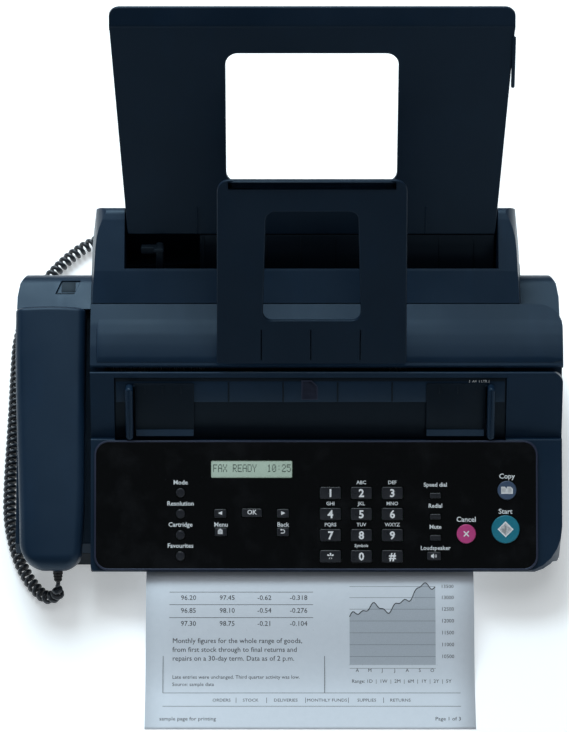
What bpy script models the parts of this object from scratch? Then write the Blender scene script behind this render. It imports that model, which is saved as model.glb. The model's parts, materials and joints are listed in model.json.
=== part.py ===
"""Desktop fax machine with a corded handset, a rear paper tray and an upright document support.

Units are metres, +Z is up, +Y runs from the front lip to the rear tray and +X is to the right of a
person who uses it. The origin lies on the desk, under the middle of the box round the whole machine.
Outlines are drawn with y = 0 at the front lip, and the empty machine_frame moves everything at once.
"""

import math

import bmesh
import bpy
from mathutils import Matrix, Vector

# Whole body
BODY_WIDTH = 0.3618
BODY_CENTRE_X = -0.0009
BODY_REAR_Y = 0.212
BODY_TOP_Z = 0.105
REAR_CORNER = 0.042
END_SLOPE = ((BODY_REAR_Y, 0.070, 0.016), (0.188, BODY_TOP_Z, 0.014))
FRONT_CORNER = 0.025
BASE_LEFT_CORNER = 0.040
BASE_RIGHT_CORNER = 0.018
WALL = 0.0025
FIT_GAP = 0.0004
BASE_FLOOR_Z = 0.004
BASE_FRONT_Y = 0.022
BASE_FRONT_TOP_Z = 0.018
BASE_REAR_TOP_Z = 0.056
SEAM_Y = 0.1045
FOOT_RADIUS = 0.0085
FOOT_INSET = 0.040

# Handset bay and front unit share the width of the body
BAY_WIDTH = 0.0500
BAY_GAP = 0.0006
LIP_Z = 0.0312
LIP_BOTTOM_Z = 0.0285
PANEL_TILT = math.radians(32)
PANEL_LENGTH = 0.0868
BED_TILT = math.radians(57)
BED_LENGTH = 0.048
UNIT_HINGE_Y = 0.104
UNIT_HINGE_Z = 0.110
UNIT_TOP_CORNER = 0.0095

# Control panel
FASCIA_WIDTH = 0.292
FASCIA_LENGTH = 0.0850
FASCIA_X = 0.0175
FASCIA_CORNER = 0.009
FASCIA_THICKNESS = 0.0015
KEY_CLEARANCE = 0.0004
KEY_PROUD = 0.0011
KEY_DEPTH = 0.0046
KEY_TRAVEL = 0.0008
BOARD_THICKNESS = 0.0016
LCD_SIZE = (0.0535, 0.0112)
LCD_PLACE = (-0.025, 0.067)
KEYPAD_KEY = (0.0140, 0.0080)
KEYPAD_PLACE = (0.0474, 0.0305)
KEYPAD_PITCH = (0.0204, 0.0139)

# Paper handling
CENTRE_X = 0.0145
TRAY_TILT = math.radians(65)
TRAY_FOOT = (0.1885, 0.1498)
TRAY_LENGTH = 0.152
TRAY_WIDTH_TOP = 0.262
TRAY_WIDTH_FOOT = 0.2433
TRAY_THICKNESS = 0.0028
TRAY_LIP = 0.013
TRAY_LIP_TILT = math.radians(42)
TRAY_HOLE = (0.112, 0.038, 0.132)
SUPPORT_TILT = math.radians(60)
SUPPORT_FOOT = (0.1068, 0.1190)
SUPPORT_LENGTH = 0.130
SUPPORT_WIDTH = 0.1225
SUPPORT_THICKNESS = 0.0032
SUPPORT_HOLE = (0.0595, 0.0640, 0.031, 0.108)
PAGE_WIDTH = 0.216
PAGE_LENGTH = 0.279
PAGE_Z = 0.0255
PAGE_FRONT_Y = -0.102
PAGE_THICKNESS = 0.0004

# Handset
HANDSET_TILT = math.radians(24.8)
HANDSET_LENGTH = 0.176
HANDSET_WIDTH = 0.0462
HANDSET_START = (-0.007, 0.044)
HANDSET_CUP_DEPTH = 0.027
HANDSET_GRIP_DEPTH = 0.017
HANDSET_NOSE = 0.012
CORD_RADIUS = 0.0046
CORD_POINTS = 72

LEFT_X = BODY_CENTRE_X - BODY_WIDTH / 2
RIGHT_X = BODY_CENTRE_X + BODY_WIDTH / 2
BAY_RIGHT_X = LEFT_X + BAY_WIDTH
UNIT_LEFT_X = BAY_RIGHT_X + BAY_GAP
ARC_STEPS = 6


# ---------------------------------------------------------------- scene and materials

def clear_scene():
    for obj in list(bpy.data.objects):
        bpy.data.objects.remove(obj, do_unlink=True)


def new_collection(name, hidden=False):
    collection = bpy.data.collections.new(name)
    bpy.context.scene.collection.children.link(collection)
    collection.hide_render = hidden
    return collection


def plain_material(name, colour, roughness, metallic=0.0):
    material = bpy.data.materials.new(name)
    material.use_nodes = True
    shader = material.node_tree.nodes["Principled BSDF"]
    shader.inputs["Base Color"].default_value = (*colour, 1.0)
    shader.inputs["Roughness"].default_value = roughness
    shader.inputs["Metallic"].default_value = metallic
    return material


clear_scene()
PARTS = new_collection("fax_machine")
CUTTERS = new_collection("cutters", hidden=True)

NAVY = plain_material("navy_plastic", (0.020, 0.034, 0.058), 0.45)
DARK = plain_material("charcoal_plastic", (0.012, 0.018, 0.028), 0.50)
GLOSS = plain_material("gloss_black", (0.004, 0.005, 0.007), 0.12)
KEYCAP = plain_material("grey_keycap", (0.060, 0.066, 0.075), 0.40)
TEAL = plain_material("teal_key", (0.010, 0.180, 0.240), 0.35)
MAGENTA = plain_material("magenta_key", (0.550, 0.060, 0.240), 0.35)
SLATE = plain_material("slate_key", (0.100, 0.150, 0.220), 0.35)
LENS = plain_material("display_window", (0.450, 0.560, 0.470), 0.20)
BOARD = plain_material("circuit_board", (0.010, 0.120, 0.040), 0.50)
RUBBER = plain_material("black_rubber", (0.010, 0.010, 0.011), 0.80)
STEEL = plain_material("bright_steel", (0.600, 0.600, 0.600), 0.25, 1.0)
PAPER = plain_material("white_paper", (0.800, 0.820, 0.850), 0.85)


# ---------------------------------------------------------------- shape helpers

def rounded(corners):
    """Corner points (a, b, radius) in order round an outline, each radius as an arc of short chords."""
    points = []
    count = len(corners)
    for index, (a, b, radius) in enumerate(corners):
        here = Vector((a, b))
        if not radius:
            points.append(here)
            continue
        back = (Vector(corners[index - 1][:2]) - here).normalized()
        ahead = (Vector(corners[(index + 1) % count][:2]) - here).normalized()
        half = back.angle(ahead) / 2
        start = here + back * (radius / math.tan(half))
        centre = here + (back + ahead).normalized() * (radius / math.sin(half))
        turn = (start - centre).angle_signed(here + ahead * (radius / math.tan(half)) - centre)
        for step in range(ARC_STEPS + 1):
            arm = (start - centre).copy()
            arm.rotate(Matrix.Rotation(-turn * step / ARC_STEPS, 2))
            points.append(centre + arm)
    return points


def rectangle(low, high, radius=0.0):
    return rounded([(low[0], low[1], radius), (high[0], low[1], radius),
                    (high[0], high[1], radius), (low[0], high[1], radius)])


def circle(centre, radius, steps=24):
    return [Vector((centre[0] + radius * math.cos(2 * math.pi * step / steps),
                    centre[1] + radius * math.sin(2 * math.pi * step / steps)))
            for step in range(steps)]


def mesh_object(name, mesh, matrix, material, collection):
    obj = bpy.data.objects.new(name, mesh)
    obj.matrix_world = matrix
    collection.objects.link(obj)
    if material:
        mesh.materials.clear()
        mesh.materials.append(material)
    if collection is CUTTERS:
        obj.hide_render = True
        obj.display_type = "WIRE"
    return obj


def slab(name, outlines, low, high, matrix, material=None, collection=None):
    """A flat outline, with holes where more outlines are given, extruded from low to high."""
    curve = bpy.data.curves.new(name, "CURVE")
    curve.dimensions = "2D"
    curve.fill_mode = "BOTH"
    curve.extrude = (high - low) / 2
    for outline in outlines:
        spline = curve.splines.new("POLY")
        spline.points.add(len(outline) - 1)
        for point, corner in zip(spline.points, outline):
            point.co = (corner[0], corner[1], 0, 1)
        spline.use_cyclic_u = True
    made = bpy.data.objects.new(name, curve)
    bpy.context.scene.collection.objects.link(made)
    graph = bpy.context.evaluated_depsgraph_get()
    mesh = bpy.data.meshes.new_from_object(made.evaluated_get(graph))
    bpy.data.objects.remove(made)
    bpy.data.curves.remove(curve)
    work = bmesh.new()
    work.from_mesh(mesh)
    bmesh.ops.remove_doubles(work, verts=work.verts, dist=1e-6)
    bmesh.ops.translate(work, verts=work.verts, vec=(0, 0, (low + high) / 2))
    bmesh.ops.recalc_face_normals(work, faces=work.faces)
    work.to_mesh(mesh)
    work.free()
    mesh.name = name
    return mesh_object(name, mesh, matrix, material, collection or PARTS)


# Outlines in y and z carried along x, outlines in x and y carried up z
ALONG_X = Matrix(((0, 0, 1, 0), (1, 0, 0, 0), (0, 1, 0, 0), (0, 0, 0, 1)))
ALONG_Z = Matrix.Identity(4)


def tilted(y, z, tilt, x=0.0):
    """A plane that rises rearwards by tilt from the line at y, z: x stays x, the second axis climbs."""
    return Matrix.Translation((x, y, z)) @ Matrix.Rotation(tilt, 4, "X")


def profile(name, corners, low_x, high_x, material=None, collection=None):
    return slab(name, [rounded(corners)], low_x, high_x, ALONG_X, material, collection)


def boolean(obj, other, operation):
    modifier = obj.modifiers.new(operation.lower() + "_" + other.name, "BOOLEAN")
    modifier.operation = operation
    modifier.solver = "EXACT"
    modifier.object = other
    return obj


def cut(obj, *cutters):
    for cutter in cutters:
        boolean(obj, cutter, "DIFFERENCE")
    return obj


def block(name, size, centre, material=None, collection=None):
    work = bmesh.new()
    bmesh.ops.create_cube(work, size=1)
    bmesh.ops.scale(work, vec=size, verts=work.verts)
    mesh = bpy.data.meshes.new(name)
    work.to_mesh(mesh)
    work.free()
    return mesh_object(name, mesh, Matrix.Translation(centre), material, collection or PARTS)


def cutter_block(name, low, high):
    size = [b - a for a, b in zip(low, high)]
    centre = [(a + b) / 2 for a, b in zip(low, high)]
    return block(name, size, centre, None, CUTTERS)


def rod(name, start, end, radius, end_radius=None, steps=24, material=None, collection=None):
    """A round bar from start to end, tapered where end_radius is given, its origin at start."""
    start, end = Vector(start), Vector(end)
    work = bmesh.new()
    bmesh.ops.create_cone(work, cap_ends=True, segments=steps, radius1=radius,
                          radius2=end_radius or radius, depth=(end - start).length)
    bmesh.ops.translate(work, verts=work.verts, vec=(0, 0, (end - start).length / 2))
    mesh = bpy.data.meshes.new(name)
    work.to_mesh(mesh)
    work.free()
    mesh.shade_smooth()
    mesh.set_sharp_from_angle(angle=math.radians(40))
    matrix = Matrix.Translation(start) @ Vector((0, 0, 1)).rotation_difference(end - start).to_matrix().to_4x4()
    return mesh_object(name, mesh, matrix, material, collection or PARTS)


def soften(obj, width, segments=2, angle=35):
    modifier = obj.modifiers.new("rounded_edges", "BEVEL")
    modifier.width = width
    modifier.segments = segments
    modifier.limit_method = "ANGLE"
    modifier.angle_limit = math.radians(angle)
    return obj


def origin_to(obj, point):
    """Moves the object's origin to a point and leaves its shape where it is."""
    shift = obj.matrix_world.inverted() @ Vector(point)
    obj.data.transform(Matrix.Translation(-shift))
    obj.matrix_world = obj.matrix_world @ Matrix.Translation(shift)
    return obj


# ---------------------------------------------------------------- base and casings

def body_plan(name, low_x, high_x, low_y, inset=0.0, left_rear=0.0, right_rear=0.0,
              left_front=0.0, right_front=0.0, high_y=BODY_REAR_Y):
    """Plan outline of a casing, with each corner's own radius, as a tall cutter."""
    corners = [(low_x + inset, low_y + inset, max(left_front - inset, 0)),
               (high_x - inset, low_y + inset, max(right_front - inset, 0)),
               (high_x - inset, high_y - inset, max(right_rear - inset, 0)),
               (low_x + inset, high_y - inset, max(left_rear - inset, 0))]
    return slab(name, [rounded(corners)], -0.05, 0.40, ALONG_Z, None, CUTTERS)


ROLLERS = {
    # name: (y, z, radius, shaft radius)
    "feed_roller": (0.160, 0.0405, 0.0140, 0.0030),
    "exit_roller": (0.045, 0.0185, 0.0060, 0.0020),
    "document_roller": (0.066, 0.0480, 0.0060, 0.0020),
}
CHEEK_X = (-0.1240, 0.1520)
CHEEK_THICKNESS = 0.003
CARRIAGE_ROD = (0.128, 0.082, 0.004)


def cheek(name, x):
    """Upright plate inside the base that carries the ends of the rollers and of the carriage rod."""
    corners = [(0.036, 0.005, 0), (0.172, 0.005, 0), (0.172, 0.060, 0), (0.142, 0.066, 0), (0.140, 0.094, 0),
               (0.116, 0.094, 0), (0.110, 0.058, 0), (0.076, 0.056, 0), (0.056, 0.042, 0), (0.036, 0.026, 0)]
    return profile(name, corners, x - CHEEK_THICKNESS / 2, x + CHEEK_THICKNESS / 2, None, CUTTERS)


def base_casing():
    corners = [(BASE_FRONT_Y, BASE_FLOOR_Z, 0), (BODY_REAR_Y, BASE_FLOOR_Z, 0.003),
               (BODY_REAR_Y, BASE_REAR_TOP_Z, 0), (SEAM_Y, BASE_REAR_TOP_Z, 0),
               (BASE_FRONT_Y, BASE_FRONT_TOP_Z, 0)]
    base = profile("base_casing", corners, LEFT_X, RIGHT_X, DARK)
    boolean(base, body_plan("base_plan", LEFT_X, RIGHT_X, BASE_FRONT_Y, 0, REAR_CORNER, REAR_CORNER,
                            BASE_LEFT_CORNER, BASE_RIGHT_CORNER), "INTERSECT")
    hollow = profile("base_hollow", [(0.0, BASE_FLOOR_Z + WALL, 0), (0.3, BASE_FLOOR_Z + WALL, 0),
                                     (0.3, 0.2, 0), (0.0, 0.2, 0)], -0.3, 0.3, None, CUTTERS)
    boolean(hollow, body_plan("base_hollow_plan", LEFT_X, RIGHT_X, BASE_FRONT_Y, WALL, REAR_CORNER,
                              REAR_CORNER, BASE_LEFT_CORNER, BASE_RIGHT_CORNER), "INTERSECT")
    cut(base, hollow)
    for side, x in zip(("left", "right"), CHEEK_X):
        boolean(base, cheek("cheek_" + side, x), "UNION")
    for name, (y, z, radius, shaft) in ROLLERS.items():
        cut(base, rod(name + "_bores", (-0.14, y, z), (0.17, y, z), shaft + FIT_GAP, steps=16,
                      collection=CUTTERS))
    y, z, radius = CARRIAGE_ROD
    cut(base, rod("rod_bores", (-0.14, y, z), (0.17, y, z), radius + FIT_GAP, steps=16, collection=CUTTERS))
    jack_x, jack_z = JACK
    cut(base, cutter_block("handset_jack_hole", (jack_x - 0.0065, BODY_REAR_Y - 0.010, jack_z - 0.0055),
                           (jack_x + 0.0065, BODY_REAR_Y + 0.010, jack_z + 0.0055)))
    for index, x in enumerate((-0.030, -0.010)):
        cut(base, cutter_block("line_jack_hole_%d" % index, (x - 0.006, BODY_REAR_Y - 0.010, 0.018),
                               (x + 0.006, BODY_REAR_Y + 0.010, 0.029)))
    cut(base, cutter_block("power_inlet_hole", (0.100, BODY_REAR_Y - 0.010, 0.015),
                           (0.124, BODY_REAR_Y + 0.010, 0.031)))
    return base


JACK = (LEFT_X + 0.0838, 0.0235)


def feet():
    spots = {"front_left": (LEFT_X + FOOT_INSET, BASE_FRONT_Y + 0.018),
             "front_right": (RIGHT_X - FOOT_INSET, BASE_FRONT_Y + 0.018),
             "rear_left": (LEFT_X + FOOT_INSET, BODY_REAR_Y - 0.030),
             "rear_right": (RIGHT_X - FOOT_INSET, BODY_REAR_Y - 0.030)}
    for name, (x, y) in spots.items():
        rod("foot_" + name, (x, y, 0), (x, y, BASE_FLOOR_Z - 0.0003), FOOT_RADIUS, steps=24, material=RUBBER)


def shoulder(low_z):
    """The steep rear upper edge under the paper slot."""
    return [(BODY_REAR_Y, low_z, 0), (BODY_REAR_Y, 0.092, 0.012), (0.196, BODY_TOP_Z, 0.010)]


def end_slope(name, low_x, high_x, inset=0.0):
    """Cutter that takes both ends of the body down to a gentler slope than the middle has."""
    (low_y, low_z, low_round), (high_y, high_z, high_round) = END_SLOPE
    edge = rounded([(high_y - 0.05, high_z - inset, 0), (high_y - inset / 2, high_z - inset, high_round - inset),
                    (low_y - inset, low_z - inset / 2, low_round - inset), (low_y - inset, 0.03, 0)])
    return slab(name, [edge + [Vector((0.30, 0.03)), Vector((0.30, 0.20)), Vector((high_y - 0.05, 0.20))]],
                low_x, high_x, ALONG_X, None, CUTTERS)


def upper_casing():
    low_z = BASE_REAR_TOP_Z + FIT_GAP
    front_y = SEAM_Y + 0.0013
    corners = [(front_y, low_z, 0), *shoulder(low_z), (0.112, BODY_TOP_Z, 0), (front_y, 0.098, 0)]
    casing = profile("upper_casing", corners, UNIT_LEFT_X, RIGHT_X, NAVY)
    boolean(casing, body_plan("casing_plan", UNIT_LEFT_X, RIGHT_X, 0, 0, 0, REAR_CORNER), "INTERSECT")
    cut(casing, end_slope("right_slope", HOUSING_RIGHT_X + FIT_GAP, RIGHT_X + WALL))
    hollow = profile("casing_hollow", [(0.09, 0.03, 0), (BODY_REAR_Y - WALL, 0.03, 0),
                                       (BODY_REAR_Y - WALL, 0.090, 0.010), (0.195, BODY_TOP_Z - WALL, 0.008),
                                       (0.09, BODY_TOP_Z - WALL, 0)], -0.3, 0.3, None, CUTTERS)
    boolean(hollow, body_plan("casing_hollow_plan", UNIT_LEFT_X, RIGHT_X, -0.02, WALL, 0, REAR_CORNER),
            "INTERSECT")
    cut(hollow, end_slope("right_hollow_slope", HOUSING_RIGHT_X + FIT_GAP - WALL, RIGHT_X + WALL, WALL))
    return cut(casing, hollow, cutter_block("casing_top_opening", (-0.122, 0.100, 0.08), (0.142, 0.200, 0.13)))


COVER_FRONT_Y = 0.1062
COVER_REAR_Y = 0.1465


def top_cover():
    low_z = BODY_TOP_Z + FIT_GAP
    corners = [(0.116, low_z, 0), (COVER_REAR_Y, low_z, 0), (COVER_REAR_Y, 0.129, 0), (0.132, 0.1262, 0.03),
               (0.118, 0.1216, 0.03), (COVER_FRONT_Y, 0.1158, 0), (COVER_FRONT_Y, 0.1133, 0), (0.116, 0.1165, 0)]
    cover = profile("top_cover", corners, UNIT_LEFT_X, RIGHT_X, NAVY)
    boolean(cover, body_plan("cover_plan", UNIT_LEFT_X, RIGHT_X, 0, 0, 0, 0.016, high_y=COVER_REAR_Y),
            "INTERSECT")
    hollow = profile("cover_hollow", [(0.118, 0.08, 0), (COVER_REAR_Y - WALL, 0.08, 0),
                                      (COVER_REAR_Y - WALL, 0.1257, 0), (0.1325, 0.1236, 0.02),
                                      (0.118, 0.1183, 0)], UNIT_LEFT_X + WALL, RIGHT_X - WALL, None, CUTTERS)
    boolean(hollow, body_plan("cover_hollow_plan", UNIT_LEFT_X, RIGHT_X, 0, WALL, 0, 0.016,
                              high_y=COVER_REAR_Y), "INTERSECT")
    return cut(cover, hollow)


HOUSING_LEFT_X = -0.1328
HOUSING_RIGHT_X = 0.1545
HOUSING_LEAN = 0.0056
HOUSING_CORNER = 0.014
EAR_TOP_Z = 0.159
HOLLOW_LOW_Z = BODY_TOP_Z - 0.015
SLOT_LEFT_X = -0.1092
SLOT_RIGHT_X = 0.1382


def rear_housing():
    low_z = BODY_TOP_Z + FIT_GAP
    front_y = COVER_REAR_Y + FIT_GAP
    corners = [(front_y, low_z, 0), (BODY_REAR_Y, low_z, 0), (BODY_REAR_Y, EAR_TOP_Z - 0.013, 0.008),
               (0.204, EAR_TOP_Z, 0.006), (0.196, EAR_TOP_Z - 0.003, 0.010), (0.165, 0.1405, 0.006),
               (front_y, 0.1295, 0)]
    housing = profile("rear_housing", corners, HOUSING_LEFT_X - WALL, HOUSING_RIGHT_X + WALL, NAVY)
    face = rounded([(HOUSING_LEFT_X, BODY_TOP_Z, 0), (HOUSING_RIGHT_X, BODY_TOP_Z, 0),
                    (HOUSING_RIGHT_X - HOUSING_LEAN, EAR_TOP_Z + 0.0005, HOUSING_CORNER),
                    (HOUSING_LEFT_X + HOUSING_LEAN, EAR_TOP_Z + 0.0005, HOUSING_CORNER)])
    boolean(housing, slab("housing_face", [face], -0.3, 0, tilted(0, 0, math.radians(90)), None, CUTTERS),
            "INTERSECT")
    slot = cutter_block("paper_slot", (SLOT_LEFT_X, 0.1665, HOLLOW_LOW_Z), (SLOT_RIGHT_X, BODY_REAR_Y - 0.004, 0.20))
    bar = cutter_block("housing_bar_hollow", (SLOT_LEFT_X, front_y + WALL, HOLLOW_LOW_Z), (SLOT_RIGHT_X, 0.1640, 0.1265))
    left = cutter_block("left_ear_hollow", (HOUSING_LEFT_X + HOUSING_LEAN + WALL, front_y + WALL, HOLLOW_LOW_Z),
                        (SLOT_LEFT_X - WALL, BODY_REAR_Y - WALL, 0.1265))
    right = cutter_block("right_ear_hollow", (SLOT_RIGHT_X + WALL, front_y + WALL, HOLLOW_LOW_Z),
                         (HOUSING_RIGHT_X - HOUSING_LEAN - WALL, BODY_REAR_Y - WALL, 0.1265))
    return cut(housing, slot, bar, left, right)


def feed_plate():
    """Chute inside the slot that continues the tray's slope down to the feed roller."""
    top_y, top_z = TRAY_FOOT
    place = tilted(top_y, top_z, TRAY_TILT)
    outline = rectangle((-0.0595, -0.046), (SLOT_RIGHT_X - 0.001, -0.0006), 0.002)
    return slab("feed_plate", [outline], -TRAY_THICKNESS, 0, place, DARK)


def paper_guide():
    """Side stop for the paper: a bar on the chute's line with a foot that slides in the housing."""
    top_y, top_z = TRAY_FOOT
    place = tilted(top_y, top_z, TRAY_TILT)
    bar = slab("paper_guide", [rectangle((-0.0885, -0.030), (-0.0835, -0.006), 0.0015)], FIT_GAP, 0.009, place, DARK)
    arm = slab("guide_arm", [rectangle((-0.0985, -0.012), (-0.0860, -0.007))], FIT_GAP + 0.001, 0.006, place, None, CUTTERS)
    boolean(bar, arm, "UNION")
    return origin_to(bar, (-0.086, top_y, top_z))


# ---------------------------------------------------------------- handset side

HANDSET_Y, HANDSET_Z = HANDSET_START


def handset_point(along, up):
    """World y, z of a point measured along the handset from its front end and up from its top face."""
    return (HANDSET_Y + along * math.cos(HANDSET_TILT) - up * math.sin(HANDSET_TILT),
            HANDSET_Z + along * math.sin(HANDSET_TILT) + up * math.cos(HANDSET_TILT))


HANDSET_X = LEFT_X + HANDSET_WIDTH / 2
BAY_DEPTH = HANDSET_CUP_DEPTH + 0.0008
HOOK_ALONG = 0.150
POCKET_X = (-0.1525, -0.1400)
POCKET_Y = (0.1722, 0.1834)
POCKET_LEAN = -0.0040
POCKET_DEPTH = 0.0014


def handset_cradle():
    bay_rear = HANDSET_LENGTH + 0.0008
    rim_up = (BODY_TOP_Z - HANDSET_Z - bay_rear * math.sin(HANDSET_TILT)) / math.cos(HANDSET_TILT)
    front = handset_point(0.021, -BAY_DEPTH)
    rear = handset_point(bay_rear, -BAY_DEPTH)
    low_z = BASE_REAR_TOP_Z + FIT_GAP
    corners = [(BASE_FRONT_Y, BASE_FRONT_TOP_Z + FIT_GAP, 0), (SEAM_Y, low_z, 0), (BODY_REAR_Y, low_z, 0),
               *END_SLOPE, (*handset_point(bay_rear, rim_up), 0), (*rear, 0), (*front, 0)]
    bay = profile("handset_cradle", corners, LEFT_X, BAY_RIGHT_X, NAVY)
    boolean(bay, body_plan("bay_plan", LEFT_X, BAY_RIGHT_X, 0, 0, REAR_CORNER), "INTERSECT")
    inner = bay_rear + WALL
    hollow = profile("bay_hollow", [(0.112, 0.04, 0), (BODY_REAR_Y - WALL, 0.04, 0),
                                    (BODY_REAR_Y - WALL, END_SLOPE[0][1] - WALL / 2, 0.013),
                                    (END_SLOPE[1][0] - WALL / 2, BODY_TOP_Z - WALL, 0.011),
                                    (*handset_point(inner, rim_up - 2 * WALL), 0),
                                    (*handset_point(inner, -BAY_DEPTH - WALL), 0),
                                    (*handset_point(0.117, -BAY_DEPTH - WALL), 0)], -0.3, 0.3, None, CUTTERS)
    boolean(hollow, body_plan("bay_hollow_plan", LEFT_X, BAY_RIGHT_X, 0, WALL, REAR_CORNER), "INTERSECT")
    hook_y, hook_z = handset_point(HOOK_ALONG, -BAY_DEPTH)
    well = slab("hook_well", [rectangle((-0.0062, -0.0062), (0.0062, 0.0062))], -0.012, 0.01,
                tilted(hook_y, hook_z, HANDSET_TILT, HANDSET_X), None, CUTTERS)
    left_x, right_x = POCKET_X
    near_y, far_y = POCKET_Y
    outline = [Vector((left_x + POCKET_LEAN, near_y)), Vector((right_x + POCKET_LEAN, near_y)),
               Vector((right_x, far_y)), Vector((left_x, far_y))]
    pocket = slab("shoulder_pocket", [outline], BODY_TOP_Z - POCKET_DEPTH, BODY_TOP_Z + 0.01, ALONG_Z, None, CUTTERS)
    return cut(bay, hollow, well, pocket)


def hook_switch():
    hook_y, hook_z = handset_point(HOOK_ALONG, -BAY_DEPTH)
    plunger = slab("hook_switch", [rectangle((-0.0055, -0.0055), (0.0055, 0.0055), 0.001)], -0.010, 0.0003,
                   tilted(hook_y, hook_z, HANDSET_TILT, HANDSET_X), KEYCAP)
    return plunger


def handset():
    cup, grip, length = HANDSET_CUP_DEPTH, HANDSET_GRIP_DEPTH, HANDSET_LENGTH
    corners = [(0.010, -cup, 0), (0.0015, -0.008, 0.004), (0.006, 0, 0.004), (length / 2, 0.0015, 0.15),
               (length - 0.006, 0, 0.004), (length, -0.006, 0.003), (length, -cup + 0.006, 0.003),
               (length - 0.006, -cup, 0.003), (length - 0.038, -cup, 0.003), (length - 0.050, -grip, 0.004),
               (0.052, -grip, 0.004), (0.040, -cup, 0.003)]
    outline = [handset_point(a, b) for a, b in ((p[0], p[1]) for p in rounded(corners))]
    half = HANDSET_WIDTH / 2
    made = slab("handset", [outline], HANDSET_X - half, HANDSET_X + half, ALONG_X, NAVY)
    plan = rounded([(HANDSET_X - half - 0.0004, 0.0011, HANDSET_NOSE), (HANDSET_X + half + 0.0004, 0.0011, HANDSET_NOSE),
                    (HANDSET_X + half + 0.0004, length + 0.01, 0), (HANDSET_X - half - 0.0004, length + 0.01, 0)])
    place = tilted(HANDSET_Y, HANDSET_Z, HANDSET_TILT)
    boolean(made, slab("handset_plan", [plan], -0.05, 0.05, place, None, CUTTERS), "INTERSECT")
    return soften(made, 0.0022, 2, 30)


# ---------------------------------------------------------------- handset cord

RELIEF_LENGTH = 0.0115
RELIEF_START = handset_point(0.00575, -0.0175)
RELIEF_ANGLE = HANDSET_TILT + math.atan2(-0.0085, -0.019)
RELIEF_X = HANDSET_X + 0.0057


def relief_point(distance):
    return (RELIEF_X, RELIEF_START[0] + distance * math.cos(RELIEF_ANGLE),
            RELIEF_START[1] + distance * math.sin(RELIEF_ANGLE))


PLUG_SIZE = (0.0105, 0.0155, 0.0085)
CORD_REST_Z = CORD_RADIUS + 0.0004


def cord_route():
    """Points chosen by hand for the curly cord's middle line, from the handset to the rear jack."""
    jack_x, jack_z = JACK
    start = relief_point(RELIEF_LENGTH + 0.0008)
    rest = CORD_REST_Z
    return [start,
            relief_point(RELIEF_LENGTH + 0.0055),
            (LEFT_X + 0.0273, -0.0068, 0.0118),
            (LEFT_X + 0.0203, -0.0052, 0.0070),
            (LEFT_X + 0.0123, 0.0035, rest),
            (LEFT_X + 0.0043, 0.0175, rest),
            (LEFT_X - 0.0017, 0.0350, rest),
            (LEFT_X - 0.0062, 0.0580, rest),
            (LEFT_X - 0.0072, 0.0850, rest),
            (LEFT_X - 0.0069, 0.1150, rest),
            (LEFT_X - 0.0065, 0.1450, rest),
            (LEFT_X - 0.0064, 0.1750, rest),
            (LEFT_X - 0.0057, 0.2020, rest),
            (LEFT_X - 0.0017, 0.2240, rest),
            (LEFT_X + 0.0073, 0.2480, rest),
            (LEFT_X + 0.0218, 0.2700, rest),
            (LEFT_X + 0.0398, 0.2870, rest),
            (LEFT_X + 0.0618, 0.2960, rest),
            (LEFT_X + 0.0828, 0.2905, rest),
            (LEFT_X + 0.0963, 0.2740, rest + 0.0015),
            (LEFT_X + 0.0913, 0.2560, rest + 0.0085),
            (jack_x + 0.0010, 0.2420, jack_z - 0.0025),
            (jack_x, BODY_REAR_Y + PLUG_SIZE[1] + 0.0012, jack_z)]


def smooth_line(route, count):
    """Evenly spaced points on the Catmull-Rom curve through a route."""
    points = [Vector(p) for p in route]
    points = [2 * points[0] - points[1]] + points + [2 * points[-1] - points[-2]]
    fine = []
    for a, b, c, d in zip(points, points[1:], points[2:], points[3:]):
        for step in range(24):
            t = step / 24
            fine.append(0.5 * (2 * b + (c - a) * t + (2 * a - 5 * b + 4 * c - d) * t ** 2
                               + (3 * b - a - 3 * c + d) * t ** 3))
    fine.append(points[-2])
    reach = [0.0]
    for a, b in zip(fine, fine[1:]):
        reach.append(reach[-1] + (b - a).length)
    even, index = [], 0
    for step in range(count):
        goal = reach[-1] * step / (count - 1)
        while index < len(reach) - 2 and reach[index + 1] < goal:
            index += 1
        share = (goal - reach[index]) / (reach[index + 1] - reach[index])
        even.append(fine[index].lerp(fine[index + 1], min(max(share, 0), 1)))
    return even


def handset_cord():
    curve = bpy.data.curves.new("handset_cord", "CURVE")
    curve.dimensions = "3D"
    curve.bevel_depth = CORD_RADIUS
    curve.bevel_resolution = 2
    curve.use_fill_caps = True
    curve.materials.append(DARK)
    line = smooth_line(cord_route(), CORD_POINTS)
    spline = curve.splines.new("POLY")
    spline.points.add(len(line) - 1)
    for point, place in zip(spline.points, line):
        point.co = (*place, 1)
    cord = bpy.data.objects.new("handset_cord", curve)
    PARTS.objects.link(cord)
    return cord


def cord_ends():
    rod("cord_strain_relief", relief_point(0.0003), relief_point(RELIEF_LENGTH), 0.0042, 0.0030, 16, RUBBER)
    jack_x, jack_z = JACK
    plug = block("cord_plug", PLUG_SIZE, (jack_x, BODY_REAR_Y + PLUG_SIZE[1] / 2 + 0.0002, jack_z), DARK)
    tongue = block("plug_tongue", (0.0095, 0.008, 0.0065), (jack_x, BODY_REAR_Y - 0.001, jack_z), None, CUTTERS)
    return boolean(plug, tongue, "UNION")


# ---------------------------------------------------------------- front unit

PANEL_REAR = (PANEL_LENGTH * math.cos(PANEL_TILT), LIP_Z + PANEL_LENGTH * math.sin(PANEL_TILT))
BED_FOOT = (PANEL_REAR[0] + 0.0026, PANEL_REAR[1] - 0.0040)
BED_HEAD = (BED_FOOT[0] + BED_LENGTH * math.cos(BED_TILT), BED_FOOT[1] + BED_LENGTH * math.sin(BED_TILT))
RECESS_X = (-0.1155, 0.1430)
RECESS_DEPTH = 0.0036
BED_THICKNESS = 0.0022
BED_SPAN = (0.001, 0.0435)


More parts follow.
